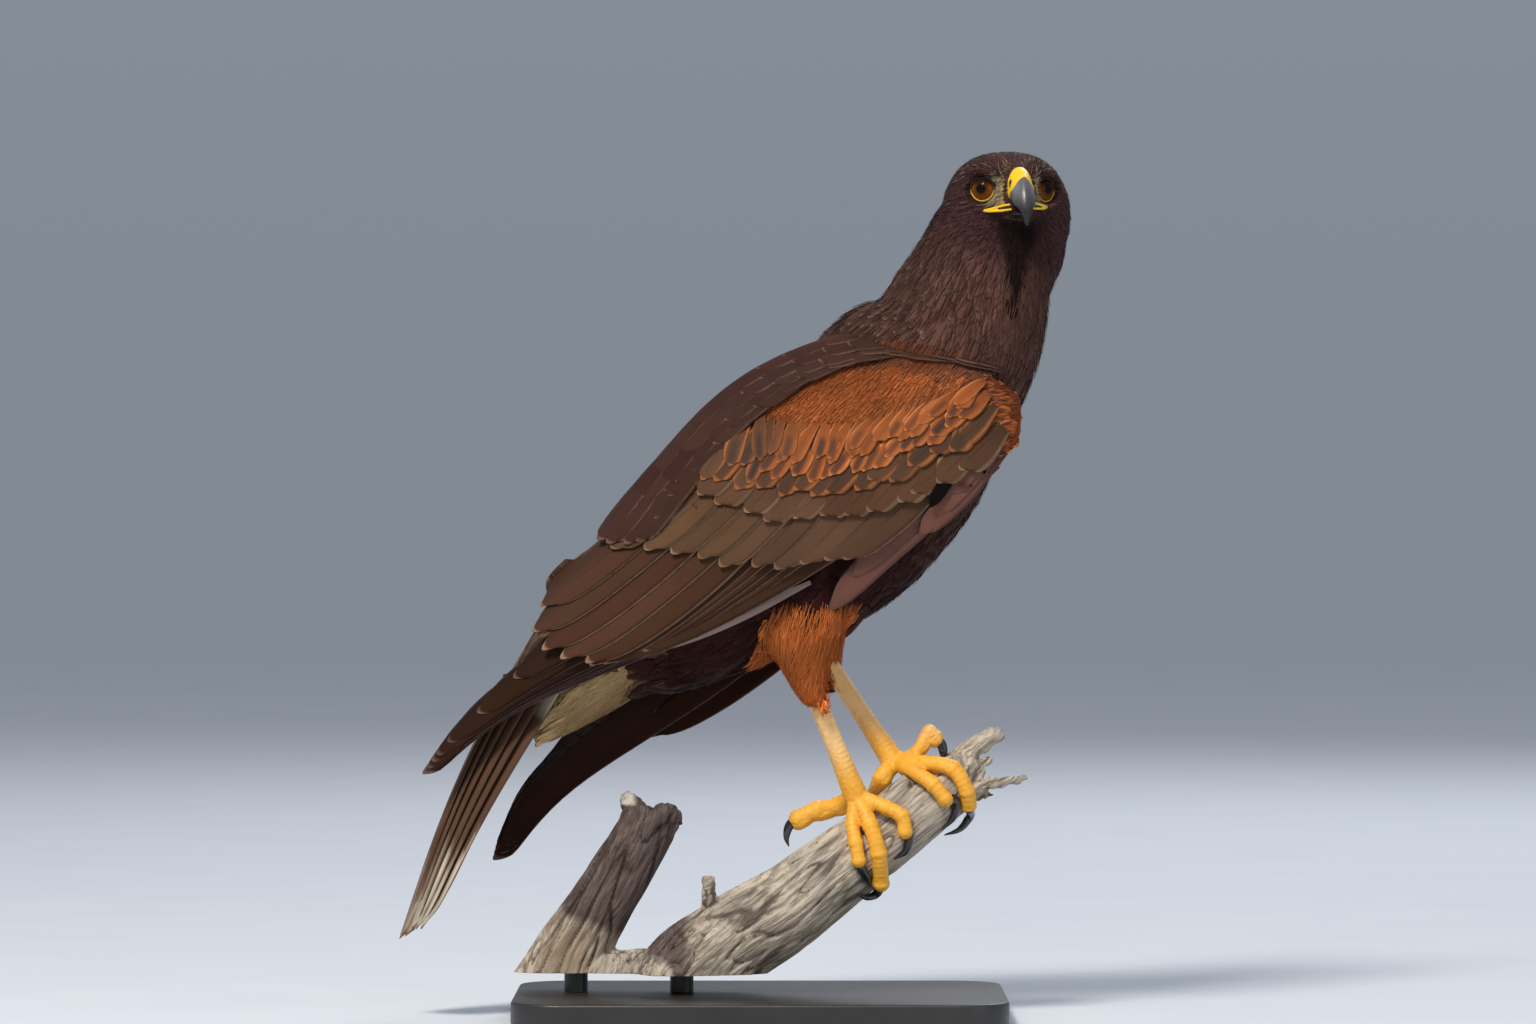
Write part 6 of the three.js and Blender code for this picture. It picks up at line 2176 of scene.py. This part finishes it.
def toe_line(name, joints, behind, girth):
    return [np.array(HUBS[name], float)] + [on_perch(x, z, girth * 0.95, behind) for x, z in joints]


def leg_line(name):
    x, z = THIGHS[name][-1][:2]
    top = np.array([x - 3.5, SIDES[name] * (THIGH_APART - 6), z + 13])
    hub = np.array(HUBS[name], float)
    return [top, top + (hub - top) * 0.35, top + (hub - top) * 0.8, hub + unit(hub - top) * 1.5]


toe_lines = {
    name: [toe_line(name, joints, behind, girth) for joints, _, behind, girth in TOES[name]] for name in SIDES
}
print("hind toe:", np.round(toe_lines["right"][0][-1], 1))

# %% Plates, scales and pads
PLATE = 2.7
TOES_START = 1000
LEG_FRONT = np.array([0.75, -0.35, 0.3])


def fronts(line, index):
    """Finely spaced points of a line, the side that carries the plates, and how far along each one is."""
    fine, along, at = spline(line, 120)
    front = LEG_FRONT if index == 0 else fine - main_line[nearest_on(fine, main_line)]
    front = unit(front - along * (front * along).sum(-1, keepdims=True))
    return fine, front, at + TOES_START * index


def scales_at(points):
    """0 in the seams between small round scales and 1 on them."""
    gaps = [noise.voronoi(Vector(p * 0.62))[0] for p in points]
    return np.array([min(gap[1] - gap[0], 0.35) / 0.35 for gap in gaps])


def plated(points, leg, toes):
    """How far each point is raised by plates, scales and pads, and how light it is, with painted shade in the
    seams.
    """
    ways = [fronts(line, index) for index, line in enumerate([leg, *toes])]
    fine, front, at = (np.concatenate(part) for part in zip(*ways))
    nearest = nearest_on(points, fine)
    facing = (unit(points - fine[nearest]) * front[nearest]).sum(-1)
    s = at[nearest]
    share = (s / PLATE) % 1
    top = ease(facing, 0.15, 0.6)
    plate = 0.26 * share**1.6 * (1 - ease(share, 0.93, 1.0))
    scale = scales_at(points)
    pad = ease(-facing, 0.3, 0.8) * (0.45 + 0.45 * np.sin(s / 12 * 2 * np.pi)) * (s > TOES_START)
    # Painted shade: darker in the crease where each plate begins and in the seams between scales.
    light = np.where(top > 0.5, 0.9 - 0.25 * (share < 0.16) + 0.1 * scale, 0.8 + 0.2 * scale)
    return 0.6 * top * plate + (0.28 - 0.1 * top) * scale + pad, light


print("plates on a leg of 60 mm:", round(60 / PLATE))

# %% Fuse and scale the feet


def knuckle(spot, radius):
    bpy.ops.object.select_all(action="DESELECT")
    bpy.ops.mesh.primitive_ico_sphere_add(subdivisions=3, radius=radius * MM, location=tuple(spot * MM))
    bpy.ops.object.transform_apply(location=True)
    return bpy.context.object


def foot(name):
    leg, toes = leg_line(name), toe_lines[name]
    parts = [limb(f"tarsus_{name}", leg, (5.2, 4.8, 5.2, 6.4), 40, 40)]
    for line, (_, _, _, girth) in zip(toes, TOES[name]):
        radii = [girth * 1.0] + [girth * 0.93] * (len(line) - 2) + [girth * 0.9]
        parts.append(limb(f"toe_{name}", line, radii, 36, 32))
        parts += [knuckle(joint, girth * size) for joint, size in zip(line[1:], (1.02, 1.05, 1.0))]
    made = melt(join_all(f"foot_{name}", parts), 0.55, 4)
    places = points_of(made)
    rise, light = plated(places, leg, toes)
    move_points(made, places + normals_of(made) * (rise - 0.25)[:, None])
    z = points_of(outward(made))[:, 2]
    hub = HUBS[name][2]
    colour = blend(seen(244, 178, 58), seen(255, 210, 146), ease(z, hub + 4, hub + 30) * 0.9)
    return shade(tinted(made, "tint", colour * (0.5 + 0.5 * light[: len(z)])[:, None] ** 0.8))


soft = {"Subsurface_Weight": 0.1, "Subsurface_Scale": 0.003}
scaled = Finish("scaled_skin", Roughness=0.46, Specular_IOR_Level=0.4, **soft)
dirt = scaled.smooth(scaled.noise(scaled.place(), 140.0, 5.0, 0.65), 0.45, 0.75, 0.0, 0.5)
scaled.colour(scaled.shaded(dirt, scaled.stored(), 0.86, 0.6, 0.36))
links = {"Vector": scaled.place(), "Scale": 900.0}
cells = scaled.node("ShaderNodeTexVoronoi", links, feature="DISTANCE_TO_EDGE").outputs["Distance"]
scaled.bump(scaled.smooth(cells, 0.0, 0.12), 0.35, 0.0001)
for name in SIDES:
    replaced = [f"tarsus_{name}"] + [f"toe_{name}_{k}" for k in (1, 2, 3, 4)]
    hand_over(paint(foot(name), scaled), "leg_skin", *replaced)

# %% Claws


def claw(name, k):
    _, places, behind, girth = TOES[name][k]
    root = toe_lines[name][k][-1]
    tips = [on_perch(x, z, clear, behind) for (x, z), clear in zip(places, (2.4, 1.9, 0.8))]
    return limb(f"claw_{k}", [root, *tips], (girth * 0.62, 2.5, 1.7, 0.3), 44, 24, taper=0.86)


polish = {"Coat_Weight": 0.6, "Coat_Roughness": 0.08}
talon = Finish("claw_horn", Roughness=0.18, Specular_IOR_Level=0.5, **polish)
lengthwise = talon.noise(talon.place(), 500.0, 3.0)
talon.colour(talon.mix(talon.smooth(lengthwise, 0.4, 0.7), (0.006, 0.006, 0.007, 1), (0.022, 0.02, 0.02, 1)))
talon.bump(lengthwise, 0.12, 0.0002)
for name in SIDES:
    claws = shade(join_all(f"claws_{name}", [claw(name, k) for k in range(4)]))
    hand_over(paint(claws, talon), "claw", *[f"claw_{name}_{k}" for k in (1, 2, 3, 4)])
